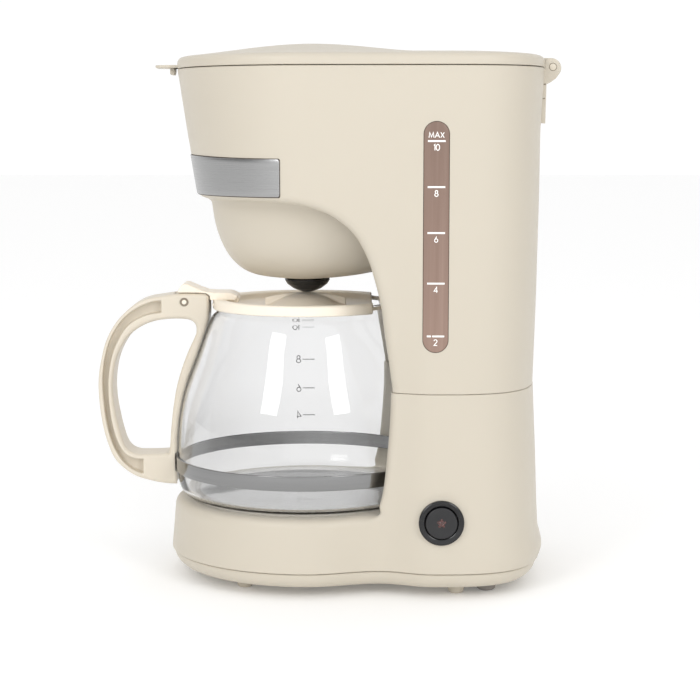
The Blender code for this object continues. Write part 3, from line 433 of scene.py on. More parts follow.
def base_material(name, colour, roughness, metallic=0.0):
    m = bpy.data.materials.new(name)
    m.use_nodes = True
    b = m.node_tree.nodes["Principled BSDF"]
    b.inputs["Base Color"].default_value = (*colour, 1.0)
    b.inputs["Roughness"].default_value = roughness
    b.inputs["Metallic"].default_value = metallic
    return m


def srgb(r, g, b):
    def f(c):
        c /= 255.0
        return c / 12.92 if c <= 0.04045 else ((c + 0.055) / 1.055) ** 2.4
    return (f(r), f(g), f(b))


def coordinates(nt, scale=(1, 1, 1)):
    tc = nt.nodes.new("ShaderNodeTexCoord")
    mp = nt.nodes.new("ShaderNodeMapping")
    mp.inputs["Scale"].default_value = scale
    nt.links.new(tc.outputs["Object"], mp.inputs["Vector"])
    return mp.outputs["Vector"]


def noise(nt, vector, scale, detail=2.0, rough=0.5):
    n = nt.nodes.new("ShaderNodeTexNoise")
    n.inputs["Scale"].default_value = scale
    n.inputs["Detail"].default_value = detail
    n.inputs["Roughness"].default_value = rough
    nt.links.new(vector, n.inputs["Vector"])
    return n.outputs["Fac"]


def ramp(nt, fac, stops):
    r = nt.nodes.new("ShaderNodeValToRGB")
    els = r.color_ramp.elements
    while len(els) > 1:
        els.remove(els[-1])
    els[0].position = stops[0][0]
    els[0].color = (*stops[0][1], 1.0)
    for p, c in stops[1:]:
        e = els.new(p)
        e.color = (*c, 1.0)
    nt.links.new(fac, r.inputs["Fac"])
    return r.outputs["Color"]


def map_range(nt, fac, lo, hi, a=0.0, b=1.0):
    m = nt.nodes.new("ShaderNodeMapRange")
    m.inputs["From Min"].default_value = a
    m.inputs["From Max"].default_value = b
    m.inputs["To Min"].default_value = lo
    m.inputs["To Max"].default_value = hi
    nt.links.new(fac, m.inputs["Value"])
    return m.outputs["Result"]


def bump(nt, height, strength, distance):
    b = nt.nodes.new("ShaderNodeBump")
    b.inputs["Strength"].default_value = strength
    b.inputs["Distance"].default_value = distance
    nt.links.new(height, b.inputs["Height"])
    return b.outputs["Normal"]


def plastic(name, colour, roughness=0.4, grain=0.05, vary=0.02, spec=0.5, subsurface=0.0):
    """Moulded plastic: a very fine spark-eroded grain, a slow change of tone, and slightly uneven gloss."""
    m = base_material(name, colour, roughness)
    nt, nodes, links, b = nodes_of(m)
    v = coordinates(nt)
    slow = noise(nt, v, 9.0, 2.0)
    lo = tuple(c * (1 - vary) for c in colour)
    hi = tuple(min(1.0, c * (1 + vary)) for c in colour)
    links.new(ramp(nt, slow, [(0.3, lo), (0.7, hi)]), b.inputs["Base Color"])
    mottled = noise(nt, v, 240.0, 3.0)
    links.new(map_range(nt, mottled, roughness - 0.04, roughness + 0.05, 0.3, 0.7), b.inputs["Roughness"])
    fine = noise(nt, v, 2600.0, 2.0, 0.6)
    links.new(bump(nt, fine, grain, 0.0002), b.inputs["Normal"])
    b.inputs["Specular IOR Level"].default_value = spec
    if subsurface:
        b.inputs["Subsurface Weight"].default_value = subsurface
        b.inputs["Subsurface Radius"].default_value = (1.0, 0.8, 0.6)
        b.inputs["Subsurface Scale"].default_value = 0.002
    return m


def brushed(name, colour, roughness, stretch, depth=0.06):
    """Brushed steel: long thin scratches; stretch is how fast the pattern changes along x, y, z."""
    m = base_material(name, colour, roughness, 1.0)
    nt, nodes, links, b = nodes_of(m)
    v = coordinates(nt, stretch)
    lines = noise(nt, v, 1.0, 4.0, 0.7)
    links.new(map_range(nt, lines, roughness - 0.09, roughness + 0.12, 0.3, 0.7), b.inputs["Roughness"])
    lo = tuple(c * 0.88 for c in colour)
    hi = tuple(min(1.0, c * 1.08) for c in colour)
    links.new(ramp(nt, lines, [(0.3, lo), (0.7, hi)]), b.inputs["Base Color"])
    links.new(bump(nt, lines, depth, 0.0003), b.inputs["Normal"])
    return m


CREAM_RGB = (0.59, 0.539, 0.449)
M_CREAM = plastic("cream_plastic_grained", CREAM_RGB, 0.42, 0.05, 0.012, 0.45, 0.05)
# painted light: the handle plastic, also used on the hinge pin and filter rim, is its own slightly pinker cream, made
# brighter than the body's to make up for the shade it sits in
M_HANDLE = plastic("handle_plastic_satin", (0.69, 0.626, 0.52), 0.36, 0.04, 0.012, 0.5, 0.05)
# painted light: the carafe lid's plastic is its own pinker cream, made much brighter than the body's to lift it out of
# the shade under the head
M_LIDP = plastic("carafe_lid_plastic", (0.92, 0.838, 0.715), 0.38, 0.04, 0.015, 0.5, 0.05)
M_BLACK = plastic("black_plastic_satin", srgb(30, 30, 32), 0.33, 0.04, 0.05, 0.5)
M_BLACK_GLOSS = plastic("black_plastic_gloss", srgb(17, 17, 19), 0.16, 0.02, 0.05, 0.5)
M_RUBBER = plastic("grey_rubber_pad", srgb(150, 145, 140), 0.8, 0.25, 0.04, 0.3)
M_TANK = plastic("tank_plastic_matt", srgb(214, 208, 194), 0.45, 0.05, 0.02, 0.45)
M_STEEL_TRIM = brushed("brushed_steel_trim", srgb(165, 165, 165), 0.26, (9.0, 9.0, 5200.0))
M_STEEL_BAND = brushed("polished_steel_band", srgb(143, 143, 143), 0.12, (12.0, 12.0, 3600.0), 0.03)
M_STEEL = brushed("turned_steel", srgb(190, 190, 190), 0.28, (900.0, 900.0, 900.0), 0.03)
M_ALU = brushed("cast_aluminium", srgb(188, 190, 192), 0.42, (500.0, 500.0, 500.0), 0.15)
M_BRASS = brushed("brass_cap", srgb(200, 168, 96), 0.3, (500.0, 500.0, 500.0), 0.05)
M_SILICONE = plastic("silicone_hose", srgb(226, 224, 216), 0.5, 0.05, 0.02, 0.4, 0.2)
M_PLATE = plastic("warming_plate_satin", (0.80, 0.80, 0.795), 0.2, 0.02, 0.02, 0.6)
M_SEAL = plastic("plate_seal_rubber", srgb(196, 190, 180), 0.6, 0.1, 0.03, 0.3)
M_BAND_IN = plastic("steel_band_inner", (0.50, 0.50, 0.505), 0.3, 0.02, 0.12, 0.6)
M_MARK = plastic("white_print", srgb(250, 248, 245), 0.5, 0.02, 0.01)
M_GREY_PRINT = plastic("grey_print", srgb(150, 150, 150), 0.5, 0.02, 0.01)
# painted shadow: a dark colour laid where the pins and the ears' notches sit in shade
M_SHADOW = plastic("painted_shadow_dark", (0.26, 0.22, 0.17), 0.7, 0.02, 0.05, 0.2)
M_GAP = plastic("shadow_gap_dark", srgb(70, 60, 52), 0.7, 0.02, 0.05, 0.2)


def mesh_filter_material():
    m = base_material("filter_nylon_mesh", srgb(206, 190, 150), 0.6)
    nt, nodes, links, b = nodes_of(m)
    v = coordinates(nt)
    cell = nodes.new("ShaderNodeTexVoronoi")
    cell.inputs["Scale"].default_value = 1500.0
    links.new(v, cell.inputs["Vector"])
    links.new(ramp(nt, cell.outputs["Distance"], [(0.25, srgb(120, 100, 66)), (0.6, srgb(214, 199, 160))]), b.inputs["Base Color"])
    links.new(bump(nt, cell.outputs["Distance"], 0.6, 0.0003), b.inputs["Normal"])
    return m


def glass_material():
    """Clear glass that lets the lamps' light straight through, so the deck behind it stays bright."""
    m = base_material("clear_glass_polished", (0.972, 0.974, 0.976), 0.0)
    nt, nodes, links, b = nodes_of(m)
    b.inputs["Transmission Weight"].default_value = 1.0
    b.inputs["IOR"].default_value = 1.4
    v = coordinates(nt)
    slow = noise(nt, v, 22.0, 1.0)
    links.new(map_range(nt, slow, 0.0, 0.012, 0.35, 0.75), b.inputs["Roughness"])
    # painted shade: the glass's slight grey tint is made deeper towards the base, most just above the band, and at the
    # handle's side, to darken the glass there; the wall is also thicker at the base
    split = nodes.new("ShaderNodeSeparateXYZ")
    links.new(coordinates(nt), split.inputs[0])
    height = map_range(nt, split.outputs["Z"], 0.0, 1.0, 0.045, 0.135)
    glass_tint_and_shade = ramp(nt, height, [(0.0, (0.95, 0.95, 0.95)), (0.13, (0.90, 0.90, 0.90)), (0.35, (0.862, 0.862, 0.863)), (0.6, (0.93, 0.93, 0.931)), (1.0, (0.946, 0.946, 0.947))])
    across = map_range(nt, split.outputs["Y"], 0.0, 1.0, -0.086, -0.045)
    # painted shade: the glass is darker towards the handle's side
    side = ramp(nt, across, [(0.0, (0.93, 0.93, 0.93)), (1.0, (1.0, 1.0, 1.0))])
    both = nodes.new("ShaderNodeMix")
    both.data_type = "RGBA"
    both.blend_type = "MULTIPLY"
    both.inputs["Factor"].default_value = 1.0
    links.new(glass_tint_and_shade, both.inputs["A"])
    links.new(side, both.inputs["B"])
    links.new(both.outputs["Result"], b.inputs["Base Color"])
    path = nodes.new("ShaderNodeLightPath")
    clear = nodes.new("ShaderNodeBsdfTransparent")
    clear.inputs["Color"].default_value = (0.93, 0.935, 0.94, 1.0)
    mix = nodes.new("ShaderNodeMixShader")
    links.new(path.outputs["Is Shadow Ray"], mix.inputs[0])
    links.new(b.outputs["BSDF"], mix.inputs[1])
    links.new(clear.outputs["BSDF"], mix.inputs[2])
    links.new(mix.outputs["Shader"], nodes["Material Output"].inputs["Surface"])
    return m


def gauge_material():
    """Smoked window: brown, darker at the top, with faint vertical streaks of the tank's ribs behind it."""
    m = base_material("smoked_window_plastic", srgb(140, 115, 102), 0.22)
    nt, nodes, links, b = nodes_of(m)
    v = coordinates(nt, (1.0, 420.0, 9.0))
    streaks = noise(nt, v, 1.0, 3.0, 0.55)
    tone = ramp(nt, streaks, [(0.2, srgb(132, 107, 94)), (0.5, srgb(139, 114, 101)), (0.8, srgb(147, 123, 110))])
    split = nodes.new("ShaderNodeSeparateXYZ")
    links.new(coordinates(nt), split.inputs[0])
    height = map_range(nt, split.outputs["Z"], 0.0, 1.0, 0.135, 0.256)
    fade = ramp(nt, height, [(0.0, (1.12, 1.12, 1.12)), (1.0, (0.80, 0.79, 0.78))])
    mix = nodes.new("ShaderNodeMix")
    mix.data_type = "RGBA"
    mix.blend_type = "MULTIPLY"
    mix.inputs["Factor"].default_value = 1.0
    links.new(tone, mix.inputs["A"])
    links.new(fade, mix.inputs["B"])
    links.new(mix.outputs["Result"], b.inputs["Base Color"])
    links.new(map_range(nt, streaks, 0.18, 0.3), b.inputs["Roughness"])
    b.inputs["Coat Weight"].default_value = 0.3
    b.inputs["Coat Roughness"].default_value = 0.1
    return m


def lens_material():
    m = base_material("red_lens_unlit", srgb(60, 22, 16), 0.1)
    nt, nodes, links, b = nodes_of(m)
    slow = noise(nt, coordinates(nt), 900.0, 2.0)
    links.new(ramp(nt, slow, [(0.3, srgb(44, 14, 10)), (0.7, srgb(84, 28, 20))]), b.inputs["Base Color"])
    b.inputs["Coat Weight"].default_value = 0.8
    b.inputs["Coat Roughness"].default_value = 0.04
    return m


M_MESH = mesh_filter_material()
M_GLASS = glass_material()
M_GAUGE = gauge_material()
M_LENS = lens_material()


# ---------------------------------------------------------------- turned pieces
def fillet(points, radii, seg=5, closed=True):
    """Round a polygon's corners."""
    P = [np.array(p, float) for p in points]
    n = len(P)
    if np.isscalar(radii):
        radii = [radii] * n
    out = []
    for i in range(n):
        if not closed and i in (0, n - 1):
            out.append(P[i])
            continue
        a, b, c = P[i - 1], P[i], P[(i + 1) % n]
        u, v = a - b, c - b
        lu, lv = np.linalg.norm(u), np.linalg.norm(v)
        if lu < 1e-6 or lv < 1e-6 or radii[i] <= 0:
            out.append(b)
            continue
        u, v = u / lu, v / lv
        cosang = np.clip(u @ v, -1, 1)
        half = math.acos(cosang) / 2
        if half > math.radians(87) or half < math.radians(2):
            out.append(b)
            continue
        t = min(radii[i] / math.tan(half), lu * 0.48, lv * 0.48)
        r = t * math.tan(half)
        centre = b + (u + v) / np.linalg.norm(u + v) * (r / math.sin(half))
        p, q = b + u * t - centre, b + v * t - centre
        ang = math.atan2(p[0] * q[1] - p[1] * q[0], p @ q)
        for k in range(seg + 1):
            w = ang * k / seg
            out.append(centre + np.array([p[0] * math.cos(w) - p[1] * math.sin(w), p[0] * math.sin(w) + p[1] * math.cos(w)]))
    return np.array(out)


def lathe(name, profile, n, mat, body, replaces=(), centre=(0.0, 0.0), axis="Z", angle=40, warp=None, cut=None):
    """Turn a closed profile of (radius, height).  warp moves the points, given design coordinates."""
    prof = np.asarray(profile, float)
    verts, faces, rows = [], [], []
    for r, h in prof:
        if r < 1e-6:
            rows.append([len(verts)])
            verts.append((0.0, 0.0, h))
        else:
            rows.append(list(range(len(verts), len(verts) + n)))
            for i in range(n):
                a = 2 * math.pi * i / n
                verts.append((r * math.cos(a), r * math.sin(a), h))
    m = len(prof)
    closed_on_axis = prof[0][0] < 1e-6 and prof[-1][0] < 1e-6
    for k in range(m - 1 if closed_on_axis else m):
        A, B = rows[k], rows[(k + 1) % m]
        for i in range(n):
            j = (i + 1) % n
            if len(A) == 1 and len(B) == 1:
                continue
            if len(A) == 1:
                faces.append((A[0], B[i], B[j]))
            elif len(B) == 1:
                faces.append((A[i], B[0], A[j]))
            else:
                faces.append((A[i], B[i], B[j], A[j]))
    V = np.array(verts)
    if axis == "X":
        V = np.stack([V[:, 2], V[:, 0] + centre[0], V[:, 1] + centre[1]], 1)
    elif axis == "Y":
        V = np.stack([V[:, 0] + centre[0], V[:, 2], V[:, 1] + centre[1]], 1)
    else:
        V = V + np.array([centre[0], centre[1], 0.0])
    if warp is not None:
        V = warp(V)
    o = new_object(name, D(V), faces, mat, body, replaces, True, angle)
    fix_normals(o)
    if cut is not None:
        cut(o)
    return o


def fix_normals(o):
    bm = bmesh.new()
    bm.from_mesh(o.data)
    bmesh.ops.recalc_face_normals(bm, faces=bm.faces)
    bm.to_mesh(o.data)
    bm.free()


def skin(name, loops, mat, body, replaces=(), caps=True, closed=False, angle=40):
    """Skin over equal loops of design points."""
    loops = [np.asarray(l, float) for l in loops]
    n = len(loops[0])
    verts = np.concatenate(loops)
    faces = []
    m = len(loops)
    for k in range(m if closed else m - 1):
        a, b = k * n, ((k + 1) % m) * n
        for i in range(n):
            j = (i + 1) % n
            faces.append((a + i, a + j, b + j, b + i))
    if caps and not closed:
        faces.append(tuple(range(n)))
        faces.append(tuple(range((m - 1) * n, m * n)))
    o = new_object(name, D(verts), faces, mat, body, replaces, True, angle)
    fix_normals(o)
    return o


def slab(name, outline_yz, x0, x1, mat, body, replaces=(), bevel=0.4):
    """Side-view outline (y, z) with rounded edges, between x0 and x1."""
    P = np.asarray(outline_yz, float)
    area = 0.5 * np.sum(P[:, 0] * np.roll(P[:, 1], -1) - np.roll(P[:, 0], -1) * P[:, 1])
    if area < 0:
        P = P[::-1]
    nrm = np.roll(P, -1, 0) - np.roll(P, 1, 0)
    nrm = np.stack([nrm[:, 1], -nrm[:, 0]], 1) / (np.linalg.norm(nrm, axis=1, keepdims=True) + 1e-9)
    loops = []
    for k in range(5):
        a = math.pi / 2 * k / 4
        inset, dx = bevel * (1 - math.sin(a)), bevel * (1 - math.cos(a))
        Q = P - nrm * inset
        loops.append(np.column_stack([np.full(len(Q), x0 + dx), Q]))
    for k in range(5):
        a = math.pi / 2 * (4 - k) / 4
        inset, dx = bevel * (1 - math.sin(a)), bevel * (1 - math.cos(a))
        Q = P - nrm * inset
        loops.append(np.column_stack([np.full(len(Q), x1 - dx), Q]))
    return skin(name, loops, mat, body, replaces, True, False, 50)


# ---------------------------------------------------------------- housings
implicit("upper_housing_shell", f_upper, (-84, -79, 109), (84, 137, 289), 1.25, M_CREAM, "housing", ("upper_housing",),
         ((), (), ((112.7, 0.7, 0.22), (285.3, 0.8, 0.3))))
implicit("lower_housing_shell", f_lower, (-81.5, -80.5, 12), (81.5, 136.5, 115), 1.25, M_CREAM, "housing", ("lower_housing",),
         ((), (), ((15.1, 0.8, 0.3), (112.3, 0.7, 0.22))))


def f_bottom(x, y, z):
    """Dished bottom cover: inset under the housing's edge, curving down to a flat underside."""
    d = d_outline(LO_T, x, y, 14.8 + 0 * z)
    solid = rmax(d + 1.3, 5.8 - z + 0 * d, 8.6)
    solid = rmax(solid, z - 14.4 + 0 * d, 0.4)
    inner = rmax(d + 4.0, 8.4 - z + 0 * d, 6.4)
    solid = np.maximum(solid, -inner)
    for fx, fy in ((-44.0, -33.0), (44.0, -33.0), (-57.0, 83.5), (57.0, 83.5)):
        r = np.sqrt((x - fx) ** 2 + (y - fy) ** 2)
        post = rmax(r - 3.9 - 0.28 * np.clip(z, 0, 7), -z + 0 * r, 0.9)
        post = np.maximum(post, z - 9.5 + 0 * r)
        solid = rmin(solid, post, 1.0)
    for sx, sy in ((-50.0, 6.0), (50.0, 6.0), (-52.0, 92.0), (52.0, 92.0)):
        r = np.sqrt((x - sx) ** 2 + (y - sy) ** 2)
        solid = np.maximum(solid, -np.minimum(r - 2.1 + 0 * z, np.maximum(r - 4.2, z - 7.4)))
    return solid


implicit("bottom_cover_dish", f_bottom, (-80, -80, -1.5), (80, 134, 16.5), 1.1, M_CREAM, "housing", ("bottom_cover",),
         ((), (), ((14.2, 0.6, 0.3),)))


def f_tank(x, y, z):
    a = rmax(d_outline(UP_T, x, y, z) + 3.5, -(d_bay_upper(x, y, z) - 3.5), 3.0)
    r = np.sqrt(x * x + (y - BREW_Y) ** 2) + 0 * a
    keep = np.minimum(275.5 - z + 0 * a, rmax(2.0 - y + 0 * a, 59.0 - r, 2.0))
    t = np.maximum(np.maximum(a, keep), np.maximum(z - 280.5, 119.0 - z) + 0 * a)
    t = np.maximum(t, -np.maximum(np.maximum(a + 2.6, 4.6 - y + 0 * a), np.maximum(61.0 - r, 121.0 - z + 0 * a)))
    t = np.maximum(t, -np.maximum(a + 2.6, 278.0 - z + 0 * a))
    t = np.maximum(t, 56.6 - r)
    for hx, hr in ((38.0, 4.2), (-38.0, 5.2)):
        t = np.maximum(t, -np.maximum(np.sqrt((x - hx) ** 2 + (y - 104.0) ** 2) - hr + 0 * a, z - 130.0 + 0 * a))
    return t


implicit("water_tank_moulding", f_tank, (-80, -75, 117), (80, 133, 283), 1.3, M_TANK, "housing", ("water_tank",))


# ---------------------------------------------------------------- CAD nodes that keep their shape
def finish_node(name, mat):
    o = NODES[name]
    o.data.materials.clear()
    o.data.materials.append(mat)


for _name, _mat, _slot in (
        ("heating_element", M_ALU, "aluminium"), ("boiler_tube", M_ALU, "aluminium"), ("element_bracket", M_STEEL, "steel"),
        ("bracket_screw_left", M_STEEL, "steel"), ("bracket_screw_right", M_STEEL, "steel"), ("thermostat", M_BLACK, "black_plastic"),
        ("thermal_fuse", M_BRASS, "brass"), ("check_valve_body", M_BLACK, "black_plastic"), ("check_ball", M_SILICONE, "silicone"),
        ("cold_water_hose", M_SILICONE, "silicone"), ("hot_water_hose", M_SILICONE, "silicone"), ("switch_body", M_BLACK, "black_plastic")):
    finish_node(_name, _mat)


# ---------------------------------------------------------------- lid
LID_RINGS = np.array([(0.55, 286.0), (0.15, 286.35), (0.0, 287.0), (0.0, 289.2), (0.15, 290.1), (0.55, 290.9), (1.1, 291.45), (1.9, 291.9), (3.2, 292.3),
                      (5.0, 292.6), (9.0, 292.95), (14.0, 293.3), (26.0, 294.0), (40.0, 294.6), (56.0, 295.0), (70.0, 295.2), (95.0, 295.2)])


def lid_dome(x, y):
    r = np.hypot(x / 66.0, (y - 4.0) / np.where(y < 4.0, 78.0, 74.0))
    return np.where(r < 1, 4.75 * (np.cos(np.pi * np.minimum(r, 1)) + 1) / 2, 0.0)


def polar_outline(T, z, n, cy=30.0):
    a = 2 * np.pi * np.arange(n) / n
    lo, hi = np.zeros(n), np.full(n, 140.0)
    for _ in range(44):
        m = (lo + hi) / 2
        f = d_outline(T, m * np.cos(a), cy + m * np.sin(a), z + 0 * m)
        lo, hi = np.where(f < 0, m, lo), np.where(f < 0, hi, m)
    return a, (lo + hi) / 2


LID_TOP = (np.array([0.0, 1.1, 1.9, 3.2, 5.0, 9.0, 14.0, 26.0, 40.0, 56.0, 70.0, 95.0]),
           np.array([291.3, 291.6, 291.95, 292.3, 292.6, 292.95, 293.3, 294.0, 294.6, 295.0, 295.2, 295.2]))


def f_lid(x, y, z):
    d = d_outline(UP_T, x, y, 286.0 + 0 * z)
    inset = np.maximum(-d, 0.0)
    top = np.interp(inset, *LID_TOP) + lid_dome(x, y) * np.minimum(1.0, inset / 14.0)
    solid = rmax(d, z - top, 2.0)
    inner = rmax(d + 2.2, z - top + 2.2, 1.4)
    shell = np.maximum(solid, -inner)
    shell = rmax(shell, 286.0 - z + 0 * shell, 0.5)
    ear = np.maximum(np.sqrt((y - HINGE_Y) ** 2 + (z - HINGE_Z) ** 2) - 6.4, np.abs(np.abs(x) - 27.6) - 3.9)
    return np.maximum(shell, -ear)


implicit("lid_shell", f_lid, (-82.5, -75.0, 284.5), (82.5, 135.5, 302.5), 1.15, M_CREAM, "lid", ("lid",),
         (((-27.6, 4.5, 0.6), (27.6, 4.5, 0.6)), ((131.5, 2.0, 0.5),), ((286.2, 0.5, 0.3), (291.0, 1.2, 0.45))))

TAB = fillet([(-11.2, -66.5), (-11.6, -76), (-8.6, -83.4), (8.6, -83.4), (11.6, -76), (11.2, -66.5)], [0.2, 6, 6, 6, 6, 0.2], 7)


def plate_from_plan(name, plan, z0, z1, r, mat, body, replaces=()):
    P = np.asarray(plan, float)
    area = 0.5 * np.sum(P[:, 0] * np.roll(P[:, 1], -1) - np.roll(P[:, 0], -1) * P[:, 1])
    if area < 0:
        P = P[::-1]
    nrm = np.roll(P, -1, 0) - np.roll(P, 1, 0)
    nrm = np.stack([nrm[:, 1], -nrm[:, 0]], 1) / (np.linalg.norm(nrm, axis=1, keepdims=True) + 1e-9)
    loops = []
    for z_edge, s in ((z0, 1), (z1, -1)):
        ks_ = range(5) if s == 1 else range(4, -1, -1)
        for k in ks_:
            w = math.pi / 2 * k / 4
            Q = P - nrm * r * (1 - math.sin(w))
            loops.append(np.column_stack([Q, np.full(len(Q), z_edge + s * r * (1 - math.cos(w)))]))
    return skin(name, loops, mat, body, replaces, True, False, 50)


plate_from_plan("lid_thumb_tab", TAB, 286.35, 287.95, 0.55, M_CREAM, "lid")
slab("lid_front_catch", [(-75.2, 287.0), (-75.2, 283.0), (-74.4, 282.6), (-73.2, 282.6), (-72.6, 284.4), (-72.6, 287.0)], -6, 6, M_CREAM, "lid", (), 0.3)

# ---------------------------------------------------------------- hinge
def hinge_arc(first, last, step=5, r=5.1):
    return [(HINGE_Y + r * math.cos(math.radians(d)), HINGE_Z + r * math.sin(math.radians(d))) for d in range(first, last + 1, step)]


KNUCKLE = hinge_arc(-93, 96) + [(131.0, 291.3), (126.0, 291.8), (126.0, 289.4), (129.6, 286.4), (131.4, 286.2)]
slab("lid_hinge_knuckle", KNUCKLE, -23.4, 23.4, M_CREAM, "lid", (), 0.5)
for side in (-1, 1):
    a, b = sorted((side * 24.0, side * 31.0))
    ear = [(y - 0.7, z - 0.6) for y, z in hinge_arc(-39, 192, 5, 5.3)] + [(128.8, 283.6), (128.4, 256.0), (132.2, 255.6), (132.6, 276.8), (134.9, 278.0), (137.7, 280.0)]
    slab("hinge_ear_left" if side < 0 else "hinge_ear_right", ear, a, b, M_CREAM, "housing", (), 0.7)
lathe("hinge_pin_turned", fillet([(0, -31.15), (1.9, -31.15), (1.9, 31.15), (0, 31.15)], [0, 0.35, 0.35, 0], 4), 40, M_HANDLE, "housing", ("hinge_pin",), (HINGE_Y, HINGE_Z), "X", 40)
for side in (-1, 1):
    # painted shadow: a dark ring round each end of the pin, and two short dark strips on each ear below it, standing
    # for the shade in its two small notches
    lathe("hinge_pin_shadow_" + ("left" if side < 0 else "right"), [(1.7, side * 30.6), (2.2, side * 30.6), (2.2, side * 31.03), (1.7, side * 31.03)], 40, M_SHADOW, "housing", (), (HINGE_Y, HINGE_Z), "X", 40)
    for k, (z0, z1, y0, y1) in enumerate(((276.3, 277.3, 130.5, 132.2), (268.7, 269.5, 130.2, 131.9))):
        a, b = sorted((side * 30.6, side * 31.04))
        slab(f"hinge_ear_sink_{k + 1}_" + ("left" if side < 0 else "right"), [(y0, z0), (y1, z0 + 0.2), (y1, z1), (y0, z1 - 0.1)], a, b, M_SHADOW, "housing", (), 0.1)


# ---------------------------------------------------------------- front trim plate
def front_point(t, z, out, y_end, T=UP_T):
    zs, cols = T
    yf, c1, w1 = [np.interp(z, zs, cols[i]) for i in (0, 1, 2)]
    yf, w1 = yf - out, w1 + out
    a_end = np.arccos((c1 - y_end) / (c1 - yf))
    a = -a_end + 2 * a_end * t
    return np.stack([w1 * np.sin(a), c1 - (c1 - yf) * np.cos(a), z + 0 * a], -1)


def wrapped(name, y_end, zl, zh, rise, out0, out1, r, corner, mat, replaces=(), n=150):
    loops = []
    length = 150.0
    ts = np.concatenate([np.linspace(0, 1, 9)[:-1] * 2.0 / length, np.linspace(2.0 / length, 1 - 2.0 / length, n), 1 - np.linspace(1, 0, 9)[1:] * 2.0 / length])
    for t in ts:
        e = min(t, 1 - t) * length
        trim = corner - math.sqrt(max(0.0, corner ** 2 - max(0.0, corner - e) ** 2)) if e < corner else 0.0
        a, b = zl + trim, zh + rise * math.cos(math.pi * (t - 0.5)) ** 2 - trim
        edge = min(r, max(e, 0.05))
        zz = np.concatenate([[a, a + edge * 0.3, a + edge], np.linspace(a + edge, b - edge, 9)[1:-1], [b - edge, b - edge * 0.3, b]])
        oo = np.full(len(zz), out1)
        oo[0] = oo[-1] = out1 - edge * 0.8
        oo[1] = oo[-2] = out1 - edge * 0.25
        if e <= 0.05:
            oo = np.minimum(oo, out1 - edge)
        front = [front_point(t, z, o, y_end) for z, o in zip(zz, oo)]
        back = [front_point(t, z, out0, y_end) for z in (b, a)]
        loops.append(np.array(front + back))
    return skin(name, loops, mat, "housing", replaces, True, False, 40)


wrapped("trim_plate_brushed", -11.8, 216.9, 236.8, 1.6, 0.1, 0.6, 0.2, 1.0, M_STEEL_TRIM, ("trim_plate",))
wrapped("trim_plate_shadow_gap", -11.4, 216.5, 237.2, 1.6, -0.4, 0.1, 0.1, 1.0, M_GAP)


# ---------------------------------------------------------------- water gauge and its marks
def stadium_loop(grow, n=28):
    r = GAUGE_W / 2 + grow
    pts = []
    for i in range(n + 1):
        a = math.pi * i / n
        pts.append((GAUGE_Y + r * math.cos(a), GAUGE_Z1 - GAUGE_W / 2 + r * math.sin(a)))
    for k in range(1, 12):
        pts.append((GAUGE_Y - r, GAUGE_Z1 - GAUGE_W / 2 + (GAUGE_Z0 - GAUGE_Z1 + GAUGE_W) * k / 12))
    for i in range(n + 1):
        a = math.pi + math.pi * i / n
        pts.append((GAUGE_Y + r * math.cos(a), GAUGE_Z0 + GAUGE_W / 2 + r * math.sin(a)))
    for k in range(1, 12):
        pts.append((GAUGE_Y + r, GAUGE_Z0 + GAUGE_W / 2 + (GAUGE_Z1 - GAUGE_Z0 - GAUGE_W) * k / 12))
    return np.array(pts)


def on_wall(yz, out):
    yz = np.asarray(yz, float)
    return np.column_stack([half_width(UP_T, yz[:, 0], yz[:, 1]) + out, yz])


loops = [on_wall(stadium_loop(0.0), -2.0)]
for grow, out in ((0.0, 0.0), (-0.02, 0.14), (-0.1, 0.24), (-0.3, 0.3)):
    loops.append(on_wall(stadium_loop(grow), out))
for f in (0.6, 0.3):
    loops.append(on_wall(np.column_stack([GAUGE_Y + (stadium_loop(-0.3)[:, 0] - GAUGE_Y) * f, stadium_loop(-0.3)[:, 1]]), 0.3))
skin("gauge_window_smoked", loops, M_GAUGE, "housing", ("gauge_window",), True, False, 50)
# painted shadow: a dark lining round the gauge window's recess, standing for the shade in the gap
skin("gauge_recess_shadow", [on_wall(stadium_loop(0.28), -1.0), on_wall(stadium_loop(0.28), 0.06), on_wall(stadium_loop(-0.1), 0.08)], M_GAP, "housing", (), False, False, 50)

GLYPHS = {
    "M": (0.95, [[(0.0, 0.0), (0.14, 1.0), (0.475, 0.12), (0.81, 1.0), (0.95, 0.0)]]),
    "A": (0.84, [[(0.0, 0.0), (0.42, 1.0), (0.84, 0.0)], [(0.17, 0.34), (0.67, 0.34)]]),
    "X": (0.66, [[(0.0, 0.0), (0.66, 1.0)], [(0.0, 1.0), (0.66, 0.0)]]),
    "1": (0.22, [[(0.02, 0.84), (0.2, 1.0), (0.2, 0.0)]]),
    "0": (0.64, [[(0.32 + 0.3 * math.cos(a), 0.5 + 0.5 * math.sin(a)) for a in np.linspace(0, 2 * math.pi, 33)]]),
    "2": (0.56, [[(0.28 + 0.26 * math.cos(a), 0.73 + 0.27 * math.sin(a)) for a in np.linspace(math.radians(170), math.radians(-30), 15)] + [(0.02, 0.0), (0.56, 0.0)]]),
    "4": (0.62, [[(0.46, 0.0), (0.46, 1.0), (0.0, 0.27), (0.62, 0.27)]]),
    "6": (0.6, [[(0.4, 1.0), (0.07, 0.42)] + [(0.3 + 0.28 * math.cos(a), 0.29 + 0.29 * math.sin(a)) for a in np.linspace(math.radians(155), math.radians(515), 29)]]),
    "8": (0.58, [[(0.29 + 0.21 * math.cos(a), 0.76 + 0.24 * math.sin(a)) for a in np.linspace(0, 2 * math.pi, 25)],
                 [(0.29 + 0.28 * math.cos(a), 0.26 + 0.27 * math.sin(a)) for a in np.linspace(0, 2 * math.pi, 29)]]),
}


